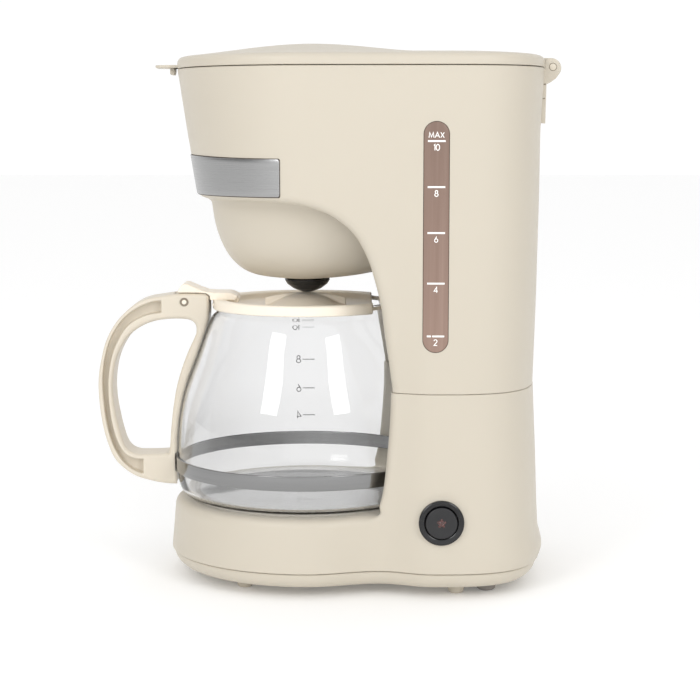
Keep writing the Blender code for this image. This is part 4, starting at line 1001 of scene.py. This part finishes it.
def ribbon(points, w):
    """A stroke as left and right edges with mitred joints."""
    P = np.asarray(points, float)
    closed = np.allclose(P[0], P[-1])
    if closed:
        P = P[:-1]
    n = len(P)
    out = []
    for i in range(n):
        a = P[(i - 1) % n] if (closed or i) else None
        b = P[(i + 1) % n] if (closed or i < n - 1) else None
        u = (P[i] - a) / np.linalg.norm(P[i] - a) if a is not None else None
        v = (b - P[i]) / np.linalg.norm(b - P[i]) if b is not None else None
        if u is None:
            u = v
        if v is None:
            v = u
        t = u + v
        t = t / max(np.linalg.norm(t), 0.3)
        nrm = np.array([-t[1], t[0]])
        c = max(0.42, float(nrm @ np.array([-u[1], u[0]])))
        out.append((P[i] + nrm * w / 2 / c, P[i] - nrm * w / 2 / c))
    return out, closed


def text_paths(text, height, space=0.16):
    """Strokes of a line of text, centred on 0, with its lower edge at 0."""
    x, paths = 0.0, []
    for ch in text:
        w, strokes = GLYPHS[ch]
        for s in strokes:
            paths.append([(x + px, py) for px, py in s])
        x += w + space
    total = x - space
    return [[((px - total / 2) * height, py * height) for px, py in s] for s in paths]


def strokes_mesh(name, paths, w, place, thick, mat, body):
    """place(u, v, out) gives the design point of (u, v) on the marked surface, out mm above it."""
    verts, faces = [], []
    for path in paths:
        edges, closed = ribbon(path, w)
        base = len(verts)
        for l, r in edges:
            for (u, v), o in ((l, thick), (r, thick), (r, 0.0), (l, 0.0)):
                verts.append(place(u, v, o))
        m = len(edges)
        for i in range(m if closed else m - 1):
            a, b = base + 4 * i, base + 4 * ((i + 1) % m)
            for k in range(4):
                faces.append((a + k, a + (k + 1) % 4, b + (k + 1) % 4, b + k))
        if not closed:
            faces.append((base, base + 1, base + 2, base + 3))
            e = base + 4 * (m - 1)
            faces.append((e + 3, e + 2, e + 1, e))
    o = new_object(name, D(verts), faces, mat, body, (), False, None)
    fix_normals(o)
    return o


def gauge_place(y0, z0):
    def f(u, v, out):
        y, z = y0 + u, z0 + v
        return (float(half_width(UP_T, np.array(y), np.array(z))) + 0.29 + out, y, z)
    return f


for label, z in (("10", 246.4), ("8", 222.5), ("6", 198.5), ("4", 171.9), ("2", 143.9)):
    place = gauge_place(70.5, z)
    strokes_mesh(f"gauge_mark_{label}", [[(-4.6, 0.0), (0.0, 0.0), (4.6, 0.0)]], 0.95, place, 0.08, M_MARK, "housing")
    strokes_mesh(f"gauge_number_{label}", text_paths(label, 3.05), 0.46, gauge_place(70.5, z - 1.75 - 3.05), 0.08, M_MARK, "housing")
strokes_mesh("gauge_max", text_paths("MAX", 2.75, 0.22), 0.44, gauge_place(70.4, 246.4 + 1.75), 0.08, M_MARK, "housing")

# ---------------------------------------------------------------- switch
lathe("switch_bezel_ring", fillet([(9.0, 72.0), (9.0, 78.9), (9.5, 79.15), (11.4, 79.75), (12.2, 79.35), (12.2, 77.2), (9.6, 77.2), (9.6, 72.0)],
                                  [0, 0.3, 0.8, 0.7, 0.5, 0, 0, 0], 6), 96, M_BLACK_GLOSS, "housing", ("switch_bezel",), (SWITCH_Y, SWITCH_Z), "X", 40)
lathe("power_button_cap", fillet([(0.0, 79.75), (4.0, 79.8), (8.0, 80.0), (8.55, 79.6), (8.55, 68.0), (0.0, 68.0)], [0, 6, 0.5, 0.4, 0.2, 0], 6),
      96, M_BLACK, "power_button", ("power_button",), (SWITCH_Y, SWITCH_Z), "X", 40)


def star_lens():
    """A small five-lobed lens with domed lobes, in the middle of the button."""
    verts, faces, n = [], [], 60
    rows = ((1.0, 0.0), (0.97, 0.12), (0.85, 0.24), (0.65, 0.32), (0.4, 0.34), (0.15, 0.3))
    for f, h in rows:
        for i in range(n):
            a = 2 * math.pi * i / n
            r = 2.2 * (1 + 0.22 * math.cos(5 * (a - math.pi / 2))) * f
            verts.append((79.74 + h * (1 + 0.25 * math.cos(5 * (a - math.pi / 2))), SWITCH_Y + r * math.cos(a), SWITCH_Z + r * math.sin(a)))
    for k in range(len(rows) - 1):
        for i in range(n):
            j = (i + 1) % n
            faces.append((k * n + i, k * n + j, (k + 1) * n + j, (k + 1) * n + i))
    faces.append(tuple(range((len(rows) - 1) * n, len(rows) * n)))
    faces.append(tuple(range(n))[::-1])
    o = new_object("power_lens_star", D(verts), faces, M_LENS, "power_button", ("button_lens",), True, 60)
    fix_normals(o)


star_lens()

# ---------------------------------------------------------------- brewing parts
lathe("filter_holder_turned", fillet([
    (56.0, 280.6), (56.0, 278.4), (52.6, 277.8), (51.4, 262.0), (48.6, 236.0), (43.2, 206.0), (35.4, 188.0), (26.0, 177.6),
    (15.0, 173.6), (4.6, 173.6), (4.6, 175.6), (14.6, 175.6), (24.8, 179.4), (33.8, 189.4), (41.3, 206.6), (46.7, 236.3),
    (49.5, 262.0), (50.8, 278.6), (54.6, 280.6)], [0.7, 0.7, 1, 20, 40, 40, 14, 12, 6, 0.5, 0.5, 6, 12, 14, 40, 40, 20, 1, 0.5], 5),
    120, M_BLACK, "housing", ("filter_holder",), (0.0, BREW_Y), "Z", 40)
lathe("permanent_filter_mesh", fillet([
    (49.9, 277.4), (49.9, 276.4), (46.6, 262.0), (43.0, 238.0), (36.6, 210.0), (26.0, 193.5), (12.0, 187.4), (0.0, 186.4),
    (0.0, 187.6), (11.7, 188.6), (25.2, 194.6), (35.5, 210.7), (41.8, 238.2), (45.4, 262.3), (48.4, 276.4), (48.4, 277.4)], [0.4, 0.4, 20, 40, 30, 16, 16, 0, 0, 16, 16, 30, 40, 20, 1, 0.4], 5),
    120, M_MESH, "housing", ("permanent_filter",), (0.0, BREW_Y), "Z", 40)
lathe("filter_rim_ring", fillet([(48.2, 276.0), (48.2, 278.4), (50.4, 278.4), (50.4, 276.8)], 0.5, 4), 120, M_HANDLE, "housing", (), (0.0, BREW_Y), "Z", 40)
for k in range(4):
    a = math.radians(45 + 90 * k)
    rows = []
    for r, z in ((48.0, 276.8), (45.2, 262.0), (41.5, 238.0), (35.2, 211.0), (25.0, 195.0), (12.0, 189.0), (2.0, 187.6)):
        c, s = math.cos(a), math.sin(a)
        t = np.array([-s, c]) * 0.9
        p = np.array([c, s]) * r
        q = np.array([c, s]) * (r - 0.9)
        rows.append([(*(p + t), z), (*(p - t), z), (*(q - t), z + 0.5), (*(q + t), z + 0.5)])
    skin(f"filter_rib_{k + 1}", [np.array(r) + np.array([0, BREW_Y, 0]) for r in rows], M_HANDLE, "housing", (), True, False, 30)
lathe("drip_valve_turned", fillet([
    (0.0, 181.0), (5.4, 181.0), (7.4, 179.2), (7.4, 178.0), (3.2, 177.4), (3.2, 169.6), (12.6, 168.9), (12.9, 167.6), (11.4, 165.2), (8.0, 162.7),
    (4.6, 161.3), (3.2, 160.8), (0.0, 160.8)], [0, 1, 0.6, 0.4, 0.4, 0.4, 0.5, 0.8, 1.6, 1.6, 0.8, 0.3, 0], 5), 96, M_BLACK_GLOSS, "drip_valve", ("drip_valve",), (0.0, BREW_Y), "Z", 40)
lathe("shower_head_turned", fillet([(0.0, 289.2), (12.0, 289.2), (13.2, 288.2), (13.2, 282.0), (11.8, 282.0), (11.8, 286.6), (0.0, 286.6)], [0, 0.8, 0.8, 0.3, 0.3, 0.3, 0], 4),
      72, M_TANK, "housing", ("shower_head",), (0.0, BREW_Y), "Z", 40)


def tube_mesh(name, points, radius, mat, body, replaces=(), per=10, n=28):
    P = spline(points, per)
    T = np.gradient(P, axis=0)
    T /= np.linalg.norm(T, axis=1, keepdims=True)
    up = np.array([1.0, 0.0, 0.0])
    loops = []
    u = np.cross(T[0], up)
    u /= np.linalg.norm(u)
    for p, t in zip(P, T):
        u = u - t * (u @ t)
        u /= np.linalg.norm(u)
        v = np.cross(t, u)
        loops.append(np.array([p + radius * (math.cos(2 * math.pi * i / n) * u + math.sin(2 * math.pi * i / n) * v) for i in range(n)]))
    return skin(name, loops, mat, body, replaces, True, False, 50)


tube_mesh("riser_tube_smooth", [(-38.0, 104.0, 107.4), (-38.0, 104.0, 150.0), (-38.0, 104.0, 210.0), (-38.0, 104.0, 262.0), (-37.0, 102.0, 276.0), (-33.0, 92.0, 284.2), (-24.0, 70.0, 285.0),
                                (-11.0, 40.0, 285.0), (-6.4, 18.0, 285.0)], 3.9, M_TANK, "housing", ("riser_tube",))

# ---------------------------------------------------------------- warming plate
lathe("warming_plate_coated", fillet([(0.0, 44.8), (61.0, 44.8), (62.0, 44.3), (62.0, 43.2), (60.4, 43.2), (60.0, 43.6), (0.0, 43.6)], [0, 0.7, 0.4, 0.2, 0, 0, 0], 4),
      160, M_PLATE, "housing", ("warming_plate",), (0.0, 0.0), "Z", 40)
lathe("plate_seal_ring", fillet([(62.3, 44.6), (64.9, 44.6), (64.9, 41.9), (67.2, 41.9), (67.2, 41.1), (59.0, 41.1), (59.0, 42.9), (62.3, 42.9)], [0.5, 0.5, 0, 0, 0, 0, 0, 0], 4),
      160, M_SEAL, "housing", ("plate_seal",), (0.0, 0.0), "Z", 40)
for tag, x in (("left", -50.0), ("right", 50.0)):
    lathe(f"rubber_pad_{tag}_round", fillet([(0.0, 5.5), (5.2, 5.5), (5.2, 1.0), (3.9, 0.0), (0.0, 0.0)], [0, 0.2, 1.0, 0.8, 0], 5), 48, M_RUBBER, "housing", (f"rubber_pad_{tag}",), (x, 100.5), "Z", 40)
for i, (x, y) in enumerate(((-50.0, 6.0), (50.0, 6.0), (-52.0, 92.0), (52.0, 92.0))):
    def recess(V, cx=x, cy=y):
        """Cross slots pressed into the screw's head."""
        V = V.copy()
        dx, dy = V[:, 0] - cx, V[:, 1] - cy
        slot_ = ((np.abs(dx) < 0.42) | (np.abs(dy) < 0.42)) & (np.hypot(dx, dy) < 2.3) & (V[:, 2] < 5.6)
        V[slot_, 2] += 0.9
        return V
    head = [(0, 17.5), (0.6, 17.5), (1.5, 15.5), (1.5, 7.1), (3.6, 7.1), (3.6, 5.9), (2.9, 5.25)] + [(r, 5.2) for r in np.arange(2.6, 0.2, -0.2)] + [(0.0, 5.2)]
    lathe(f"cover_screw_{i + 1}_cross", head, 64, M_STEEL, "housing", (f"cover_screw_{i + 1}",), (x, y), "Z", 30, recess)

# ---------------------------------------------------------------- carafe: glass, band and collar
GLASS_OUT = [(60.0, 45.1), (66.5, 45.3), (70.6, 47.4), (72.8, 52.0), (73.6, 60.0), (73.6, 70.0), (72.6, 87.0), (70.2, 101.0), (67.0, 111.4),
             (61.5, 126.0), (57.3, 137.8), (53.6, 146.4), (50.6, 150.2), (49.4, 152.5), (49.3, 155.2)]
CUT_Y = 38.0


def spout_warp(V):
    V = V.copy()
    r = np.hypot(V[:, 0], V[:, 1])
    a = np.arctan2(V[:, 1], V[:, 0])
    w = (a - np.pi / 2 + np.pi) % (2 * np.pi) - np.pi
    s = 7.0 * np.exp(-(w / 0.30) ** 2) * np.clip((V[:, 2] - 140.0) / 16.0, 0, 1) ** 1.4
    k = (r + s * (r > 40)) / np.maximum(r, 1e-6)
    V[:, 0] *= k
    V[:, 1] *= k
    return V


_out = spline(GLASS_OUT, 8)


def offset_curve(P, d):
    t = np.gradient(P, axis=0)
    t /= np.linalg.norm(t, axis=1, keepdims=True)
    return P + np.stack([-t[:, 1], t[:, 0]], 1) * d


_t = np.clip((_out[:, 1] - 50.0) / 12.0, 0, 1)
_wall = 2.3 - 1.0 * _t
_in = np.array([p for p in offset_curve(_out, 1.0)])
_in = _out + (_in - _out) * _wall[:, None]
_in = _in[_in[:, 0] > 57.5 - 20.0 * (_in[:, 1] > 60)]
_in = _in[::-1]
_rim = [(48.65 + 0.65 * math.cos(t), 155.2 + 0.5 * math.sin(t)) for t in np.linspace(0, math.pi, 9)[1:-1]]
_base_out = [(0.0, 46.0), (20.0, 45.9), (40.0, 45.6), (54.0, 45.25)]
_base_in = [(50.0, 47.4), (30.0, 47.6), (0.0, 47.7)]
GLASS_PROFILE = np.vstack([_base_out, _out, _rim, _in, _base_in])
lathe("carafe_glass_blown", GLASS_PROFILE, 160, M_GLASS, "carafe", ("carafe_glass",), (0.0, 0.0), "Z", 60, spout_warp)
OUT_R = (np.array([p[1] for p in _out[16:]]), np.array([p[0] for p in _out[16:]]))

lathe("carafe_band_steel", fillet([(73.95, 67.7), (74.7, 67.7), (74.7, 59.6), (73.95, 59.6)], 0.3, 4), 200, M_STEEL_BAND, "carafe", ("carafe_band",), (0.0, 0.0), "Z", 40)

lathe("carafe_band_inner", [(73.68, 67.3), (73.88, 67.3), (73.88, 60.0), (73.68, 60.0)], 200, M_BAND_IN, "carafe", (), (0.0, 0.0), "Z", 40)


def f_collar(x, y, z):
    r = np.sqrt(x * x + y * y)
    d = rmax(np.abs(r - 50.35) - 0.45, np.abs(z - 154.0) - 1.0 + 0 * r, 0.25)
    d = np.maximum(d, np.where(np.abs(x) < 24, y - 30.0, -9.0) + 0 * d)
    lug = rmax(rmax(np.abs(np.abs(x) - 8.3) - 1.3 + 0 * d, np.abs(y + 51.2) - 1.4 + 0 * d, 0.3), np.abs(z - 154.0) - 0.8 + 0 * d, 0.3)
    return np.minimum(d, lug)


loops = []
for i in range(181):
    a = math.radians(90 + 29 + (360 - 58) * i / 180)
    c, s = math.cos(a), math.sin(a)
    sec = fillet([(49.9, 155.0), (50.8, 155.0), (50.8, 153.0), (49.9, 153.0)], 0.25, 2)
    loops.append(np.array([(r * c, r * s, z) for r, z in sec]))
skin("carafe_collar_ring", loops, M_LIDP, "carafe", ("carafe_collar",), True, False, 40)
for side in (-1, 1):
    a, b = sorted((side * 7.0, side * 9.6))
    slab("carafe_collar_lug_" + ("left" if side < 0 else "right"), [(-52.6, 153.2), (-49.75, 153.2), (-49.75, 154.8), (-52.6, 154.8)], a, b, M_LIDP, "carafe", (), 0.25)

# ---------------------------------------------------------------- carafe handle
HANDLE_OUT = spline([(-56.2, 160.2), (-66.0, 160.5), (-72.3, 160.2), (-78.0, 159.5), (-83.9, 158.6), (-88.5, 157.8), (-93.1, 156.1), (-99.0, 152.3), (-106.8, 144.4), (-112.6, 134.4), (-115.8, 123.2),
                     (-117.6, 111.8), (-117.5, 100.5), (-116.1, 87.9), (-113.4, 76.2), (-108.4, 64.8), (-98.8, 56.6), (-89.5, 53.3), (-80.4, 51.5), (-73.0, 51.1)], 6)
HANDLE_POLY = np.vstack([HANDLE_OUT, [(-73.0, 76.0), (-71.4, 90.0), (-69.2, 102.6), (-66.0, 112.9), (-60.5, 127.2), (-56.6, 138.9), (-54.6, 145.5), (-54.4, 150.0), (-54.6, 158.6)]])
FINGER = spline([(-70.2, 146.0), (-64.9, 145.2), (-62.1, 142.6), (-61.7, 139.0), (-62.5, 136.0), (-68.2, 123.2), (-72.9, 108.4), (-75.3, 95.1), (-76.6, 83.6), (-77.8, 70.0),
                 (-80.3, 68.8), (-90.4, 68.4), (-97.4, 68.9), (-102.4, 72.4), (-105.6, 81.0), (-108.2, 93.0), (-109.4, 103.0), (-109.2, 112.5), (-107.6, 121.4), (-104.4, 129.6), (-99.6, 136.6),
                 (-92.6, 141.8), (-84.9, 144.8), (-77.0, 145.9)], 5, True)
GROOVE = spline([(-81.4, 156.4), (-86.8, 155.6), (-94.6, 152.4), (-101.2, 147.9), (-106.2, 142.2), (-110.3, 135.0), (-113.0, 127.2), (-114.7, 117.8), (-115.2, 108.8), (-114.6, 98.1), (-113.3, 87.2),
                 (-110.6, 76.2), (-106.2, 67.0), (-100.0, 60.4), (-92.8, 57.0)], 5)
GROOVE2 = spline([(-92.7, 65.8), (-97.0, 65.9), (-102.8, 68.6), (-107.3, 76.0), (-110.1, 86.0), (-111.5, 96.0), (-112.0, 107.1),
                  (-111.2, 117.4), (-109.3, 126.0), (-106.0, 134.0), (-102.0, 140.4), (-96.6, 145.0), (-89.3, 148.3), (-81.4, 149.7)], 5)
handle_sdf = Flat(HANDLE_POLY, (-124, 44), (-44, 172), 0.25)
finger_sdf = Flat(FINGER, (-124, 44), (-44, 172), 0.25)
groove_sdf = Flat(np.vstack([GROOVE, GROOVE2]), (-124, 44), (-44, 172), 0.25)
glassclear_sdf = Flat([(-5, 170), (50.0, 170), (50.0, 151.0), (54.0, 146.8), (57.7, 137.9), (61.9, 126.1), (67.4, 111.6), (70.6, 101.1), (73.0, 87.0), (73.7, 78.0), (74.0, 69.2),
                       (75.1, 68.8), (75.1, 58.6), (74.0, 58.2), (74.0, 50.0), (-5, 50.0)], (40, 40), (130, 178), 0.25)


def f_handle(x, y, z):
    ax = np.abs(x)
    d = handle_sdf(y, z)
    d = rmax(d, -finger_sdf(y, z), 1.0)
    d = rmax(d + 0 * ax, ax - 11.25 + 0 * d, 2.2)
    g = rmax(groove_sdf(y, z) + 0 * ax, 5.6 - ax + 0 * d, 1.0)
    d = rmax(d, -g, 0.7)
    r = np.sqrt(x * x + y * y)
    d = np.maximum(d, -(glassclear_sdf(r, z + 0 * r) - 0.12))
    d = np.maximum(d, np.minimum(53.3 - r, 9.0) + np.where(z > 150.6, 0.0, -99.0))
    slot_ = np.maximum(np.maximum(ax - 6.3 + 0 * d, -(y + 74.6) + 0 * d), 148.6 - z + 0 * d)
    d = rmax(d, -slot_, 0.6)
    lever = 13.0 - np.sqrt((y + 62.0) ** 2 + (z - 176.4) ** 2) + 0 * d
    d = rmax(d, lever, 0.5)
    bore = 2.3 - np.sqrt((y - PIVOT_Y) ** 2 + (z - PIVOT_Z) ** 2) + 0 * d
    d = np.maximum(d, bore)
    screw = 1.9 - np.sqrt(x * x + (z - 63.6) ** 2) + 0 * d
    return np.maximum(d, np.where(y < -60, screw, -9.0))


implicit("carafe_handle_moulded", f_handle, (-12.6, -120, 49.5), (12.6, -50.0, 162.5), 0.7, M_HANDLE, "carafe", ("carafe_handle",))
lathe("carafe_hinge_pin_heads", fillet([(0, -11.7), (1.3, -11.7), (1.3, -11.15), (2.0, -11.15), (2.0, 11.15), (1.3, 11.15), (1.3, 11.7), (0, 11.7)], [0, 0.3, 0, 0, 0, 0, 0.3, 0], 5),
      48, M_LIDP, "carafe", ("carafe_lid_pin",), (PIVOT_Y, PIVOT_Z), "X", 40)
for side in (-1, 1):
    lathe("carafe_pin_shadow_" + ("left" if side < 0 else "right"), [(1.35, side * 11.0), (2.45, side * 11.0), (2.45, side * 11.3), (1.35, side * 11.3)], 40, M_SHADOW, "carafe", (), (PIVOT_Y, PIVOT_Z), "X", 40)
lathe("handle_screw_turned", fillet([(0, -79.8), (1.5, -79.8), (1.5, -75.4), (0, -75.4)], [0, 0.3, 0, 0], 3), 32, M_STEEL, "carafe", ("handle_screw",), (0.0, 63.6), "Y", 40)

# ---------------------------------------------------------------- carafe lid
_dome = spline([(0.0, 160.1), (3.0, 159.95), (6.0, 159.45), (9.0, 158.6), (12.0, 157.6), (17.0, 155.2), (20.6, 153.4), (24.0, 152.95)], 4)
_rim_out = fillet([(24.0, 152.95), (34.0, 153.0), (44.3, 153.6), (45.3, 156.5), (48.6, 157.3), (51.9, 157.15), (52.7, 156.2), (52.7, 151.3), (51.4, 151.3), (51.35, 156.1), (46.5, 156.1), (45.5, 151.9), (34.0, 151.2), (22.0, 151.2)],
                  [0, 4, 1.2, 1.0, 3, 0.9, 0.7, 0.5, 0.4, 0.3, 0.5, 1.2, 3, 0], 4)
_dome_in = spline([(19.0, 151.4), (15.6, 153.6), (11.0, 156.0), (5.4, 157.6), (0.0, 158.2)], 4)
lid_profile = np.vstack([_dome[:-1], _rim_out[:-1], _dome_in, [(-6.0, 158.2), (-6.0, 160.1)]])
clid_sdf = Flat(lid_profile, (-4, 140), (62, 174), 0.2)
LEVER_TOP = [(-72.3, 160.9), (-71.3, 163.2), (-70.0, 164.9), (-68.6, 165.9), (-66.7, 165.9), (-60.0, 163.0), (-55.2, 161.3), (-50.5, 161.0), (-42.8, 161.0), (-40.9, 160.4), (-39.4, 159.6), (-38.4, 159.3)]
LEVER = LEVER_TOP + [(-36.4, 157.4), (-38.0, 154.2), (-45.7, 154.2), (-46.0, 156.9), (-53.0, 157.2), (-53.8, 155.6), (-56.0, 154.6), (-60.0, 152.6), (-68.3, 151.4), (-72.2, 154.0)]
lever_sdf = Flat(fillet(LEVER, 1.0, 4), (-80, 140), (-28, 174), 0.2)
PAD = fillet(LEVER_TOP + [(-38.2, 157.8), (-40.0, 156.4), (-53.6, 156.6), (-53.9, 158.9), (-54.4, 159.5), (-56.2, 160.45), (-60.0, 160.75), (-66.0, 160.85)],
             [0.3, 1.5, 1.5, 1.2, 1.4, 4, 4, 4, 4, 1.5, 1.0, 0.6, 0.6, 0.5, 0.3, 0.3, 0.3, 0.5, 2.0, 3.0], 4)
pad_sdf = Flat(PAD, (-80, 140), (-28, 174), 0.2)


def f_clid(x, y, z):
    ax = np.abs(x)
    r = np.sqrt(x * x + y * y)
    d = clid_sdf(r, z + 0 * r)
    fin = rmax(rmax(ax - 0.7 + 0 * d, np.abs(y) - 23.0 + 0 * d, 0.3), np.maximum(z - (160.4 - 0.006 * y * y) + 0 * d, 152.5 - z), 0.3)
    d = rmin(d, fin, 0.8)
    d = rmax(d, y - CUT_Y + 0 * d, 0.5)
    notch = np.maximum(np.maximum(np.abs(ax - 8.3) - 1.9 + 0 * d, y + 49.6 + 0 * d), z - 155.4 + 0 * d)
    d = np.maximum(d, -np.maximum(notch, -60.0 - y))
    arm = rmax(lever_sdf(y, z) + 0.6 + 0 * ax, ax - 6.0 + 0 * d, 1.0)
    d = rmin(d, arm, 0.8)
    bore = 2.3 - np.sqrt((y - PIVOT_Y) ** 2 + (z - PIVOT_Z) ** 2) + 0 * d
    return np.where(y < -55, np.maximum(d, bore), d)


implicit("carafe_lid_moulded", f_clid, (-54.2, -77.5, 148.0), (54.2, 39.5, 171.0), 0.75, M_LIDP, "carafe_lid", ("carafe_lid",))


def f_pad(x, y, z):
    return rmax(pad_sdf(y, z) + 0 * x, np.abs(x) - 11.0 + 0 * y + 0 * z, 0.9)


implicit("carafe_lid_thumb_pad", f_pad, (-12, -74.0, 155.4), (12, -36, 168.0), 0.4, M_LIDP, "carafe_lid", ())


# ---------------------------------------------------------------- grey cup marks printed on the glass
def glass_place(y0, z0, sign=-1):
    def f(u, v, out):
        y, z = y0 + sign * u, z0 + v
        r = float(np.interp(z, OUT_R[0], OUT_R[1])) + 0.03 + out
        return (sign * math.sqrt(r * r - y * y), y, z)
    return f


for label, z in (("10", 134.8), ("8", 113.3), ("6", 94.9), ("4", 77.9)):
    _paths = text_paths(label, 4.6)
    _half = max(abs(px) for p in _paths for px, py in p)
    strokes_mesh(f"cup_number_{label}", _paths, 0.52, glass_place(-4.8 - _half, z - 2.2), 0.05, M_GREY_PRINT, "carafe")
    strokes_mesh(f"cup_line_{label}", [[(-3.8, 0.0), (0.0, 0.0), (3.7, 0.0)]], 0.5, glass_place(0.0, z), 0.05, M_GREY_PRINT, "carafe")

# ---------------------------------------------------------------- floor, light and camera
floor_mesh = bpy.data.meshes.new("floor")
floor_mesh.from_pydata([(-9, -9, 0), (9, -9, 0), (9, 9, 0), (-9, 9, 0)], [], [(0, 1, 2, 3)])
floor = bpy.data.objects.new("floor", floor_mesh)
bpy.context.scene.collection.objects.link(floor)
M_FLOOR = base_material("floor_white", (0.98, 0.98, 0.98), 0.9)
_fb = M_FLOOR.node_tree.nodes["Principled BSDF"]
_fb.inputs["Emission Color"].default_value = (1.0, 1.0, 1.0, 1.0)
_fb.inputs["Emission Strength"].default_value = 0.09
floor_mesh.materials.append(M_FLOOR)

SIDE_WALL, NEAR_WALL, CEILING = 0.34, 1.30, 0.92
world = bpy.data.worlds.new("studio")
bpy.context.scene.world = world
world.use_nodes = True
# A white sweep behind the object, darker studio walls at its ends and on the camera's side, a soft ceiling.
_wt = world.node_tree
_bg = _wt.nodes["Background"]
_tc = _wt.nodes.new("ShaderNodeTexCoord")
_sep = _wt.nodes.new("ShaderNodeSeparateXYZ")
_wt.links.new(_tc.outputs["Generated"], _sep.inputs[0])
_side = map_range(_wt, _sep.outputs["X"], 0.0, 1.0, -1.0, 1.0)
_wall = ramp(_wt, _side, [(0.0, (1.0, 1.0, 1.0)), (0.13, (1.0, 1.0, 1.0)), (0.33, (SIDE_WALL,) * 3), (0.70, (SIDE_WALL,) * 3), (0.93, (NEAR_WALL,) * 3)])
_up = map_range(_wt, _sep.outputs["Z"], 0.0, 1.0, 0.30, 0.75)
_sky = _wt.nodes.new("ShaderNodeMix")
_sky.data_type = "RGBA"
_wt.links.new(_up, _sky.inputs["Factor"])
_wt.links.new(_wall, _sky.inputs["A"])
_sky.inputs["B"].default_value = (CEILING, CEILING, CEILING, 1.0)
_wt.links.new(_sky.outputs["Result"], _bg.inputs["Color"])
_bg.inputs["Strength"].default_value = 1.03


def area(name, loc, target, size, size_y, power, colour=(1, 1, 1)):
    l = bpy.data.lights.new(name, "AREA")
    l.shape = "RECTANGLE"
    l.size, l.size_y = size, size_y
    l.energy = power
    l.color = colour
    o = bpy.data.objects.new(name, l)
    o.location = loc
    o.rotation_euler = (Vector(target) - Vector(loc)).to_track_quat("-Z", "Y").to_euler()
    bpy.context.scene.collection.objects.link(o)
    return o


area("softbox_front", (1.54, -1.01, 1.005), (0.0, 0.0, 0.12), 0.57, 0.84, 7.4)
area("softbox_rear", (1.52, 1.05, 0.99), (0.0, 0.0, 0.12), 0.56, 0.77, 6.2)

cam_data = bpy.data.cameras.new("camera")
cam_data.lens = 92.571
cam_data.sensor_width = 36.0
cam_data.clip_start = 0.01
cam_data.clip_end = 50.0
cam = bpy.data.objects.new("camera", cam_data)
cam.location = (1.023, (25.33 - YC) / 1000.0, 0.2527)
cam.rotation_euler = (math.radians(90 - 7.004), 0.0, math.radians(90))
bpy.context.scene.collection.objects.link(cam)
bpy.context.scene.camera = cam
bpy.context.scene.view_settings.view_transform = "Standard"
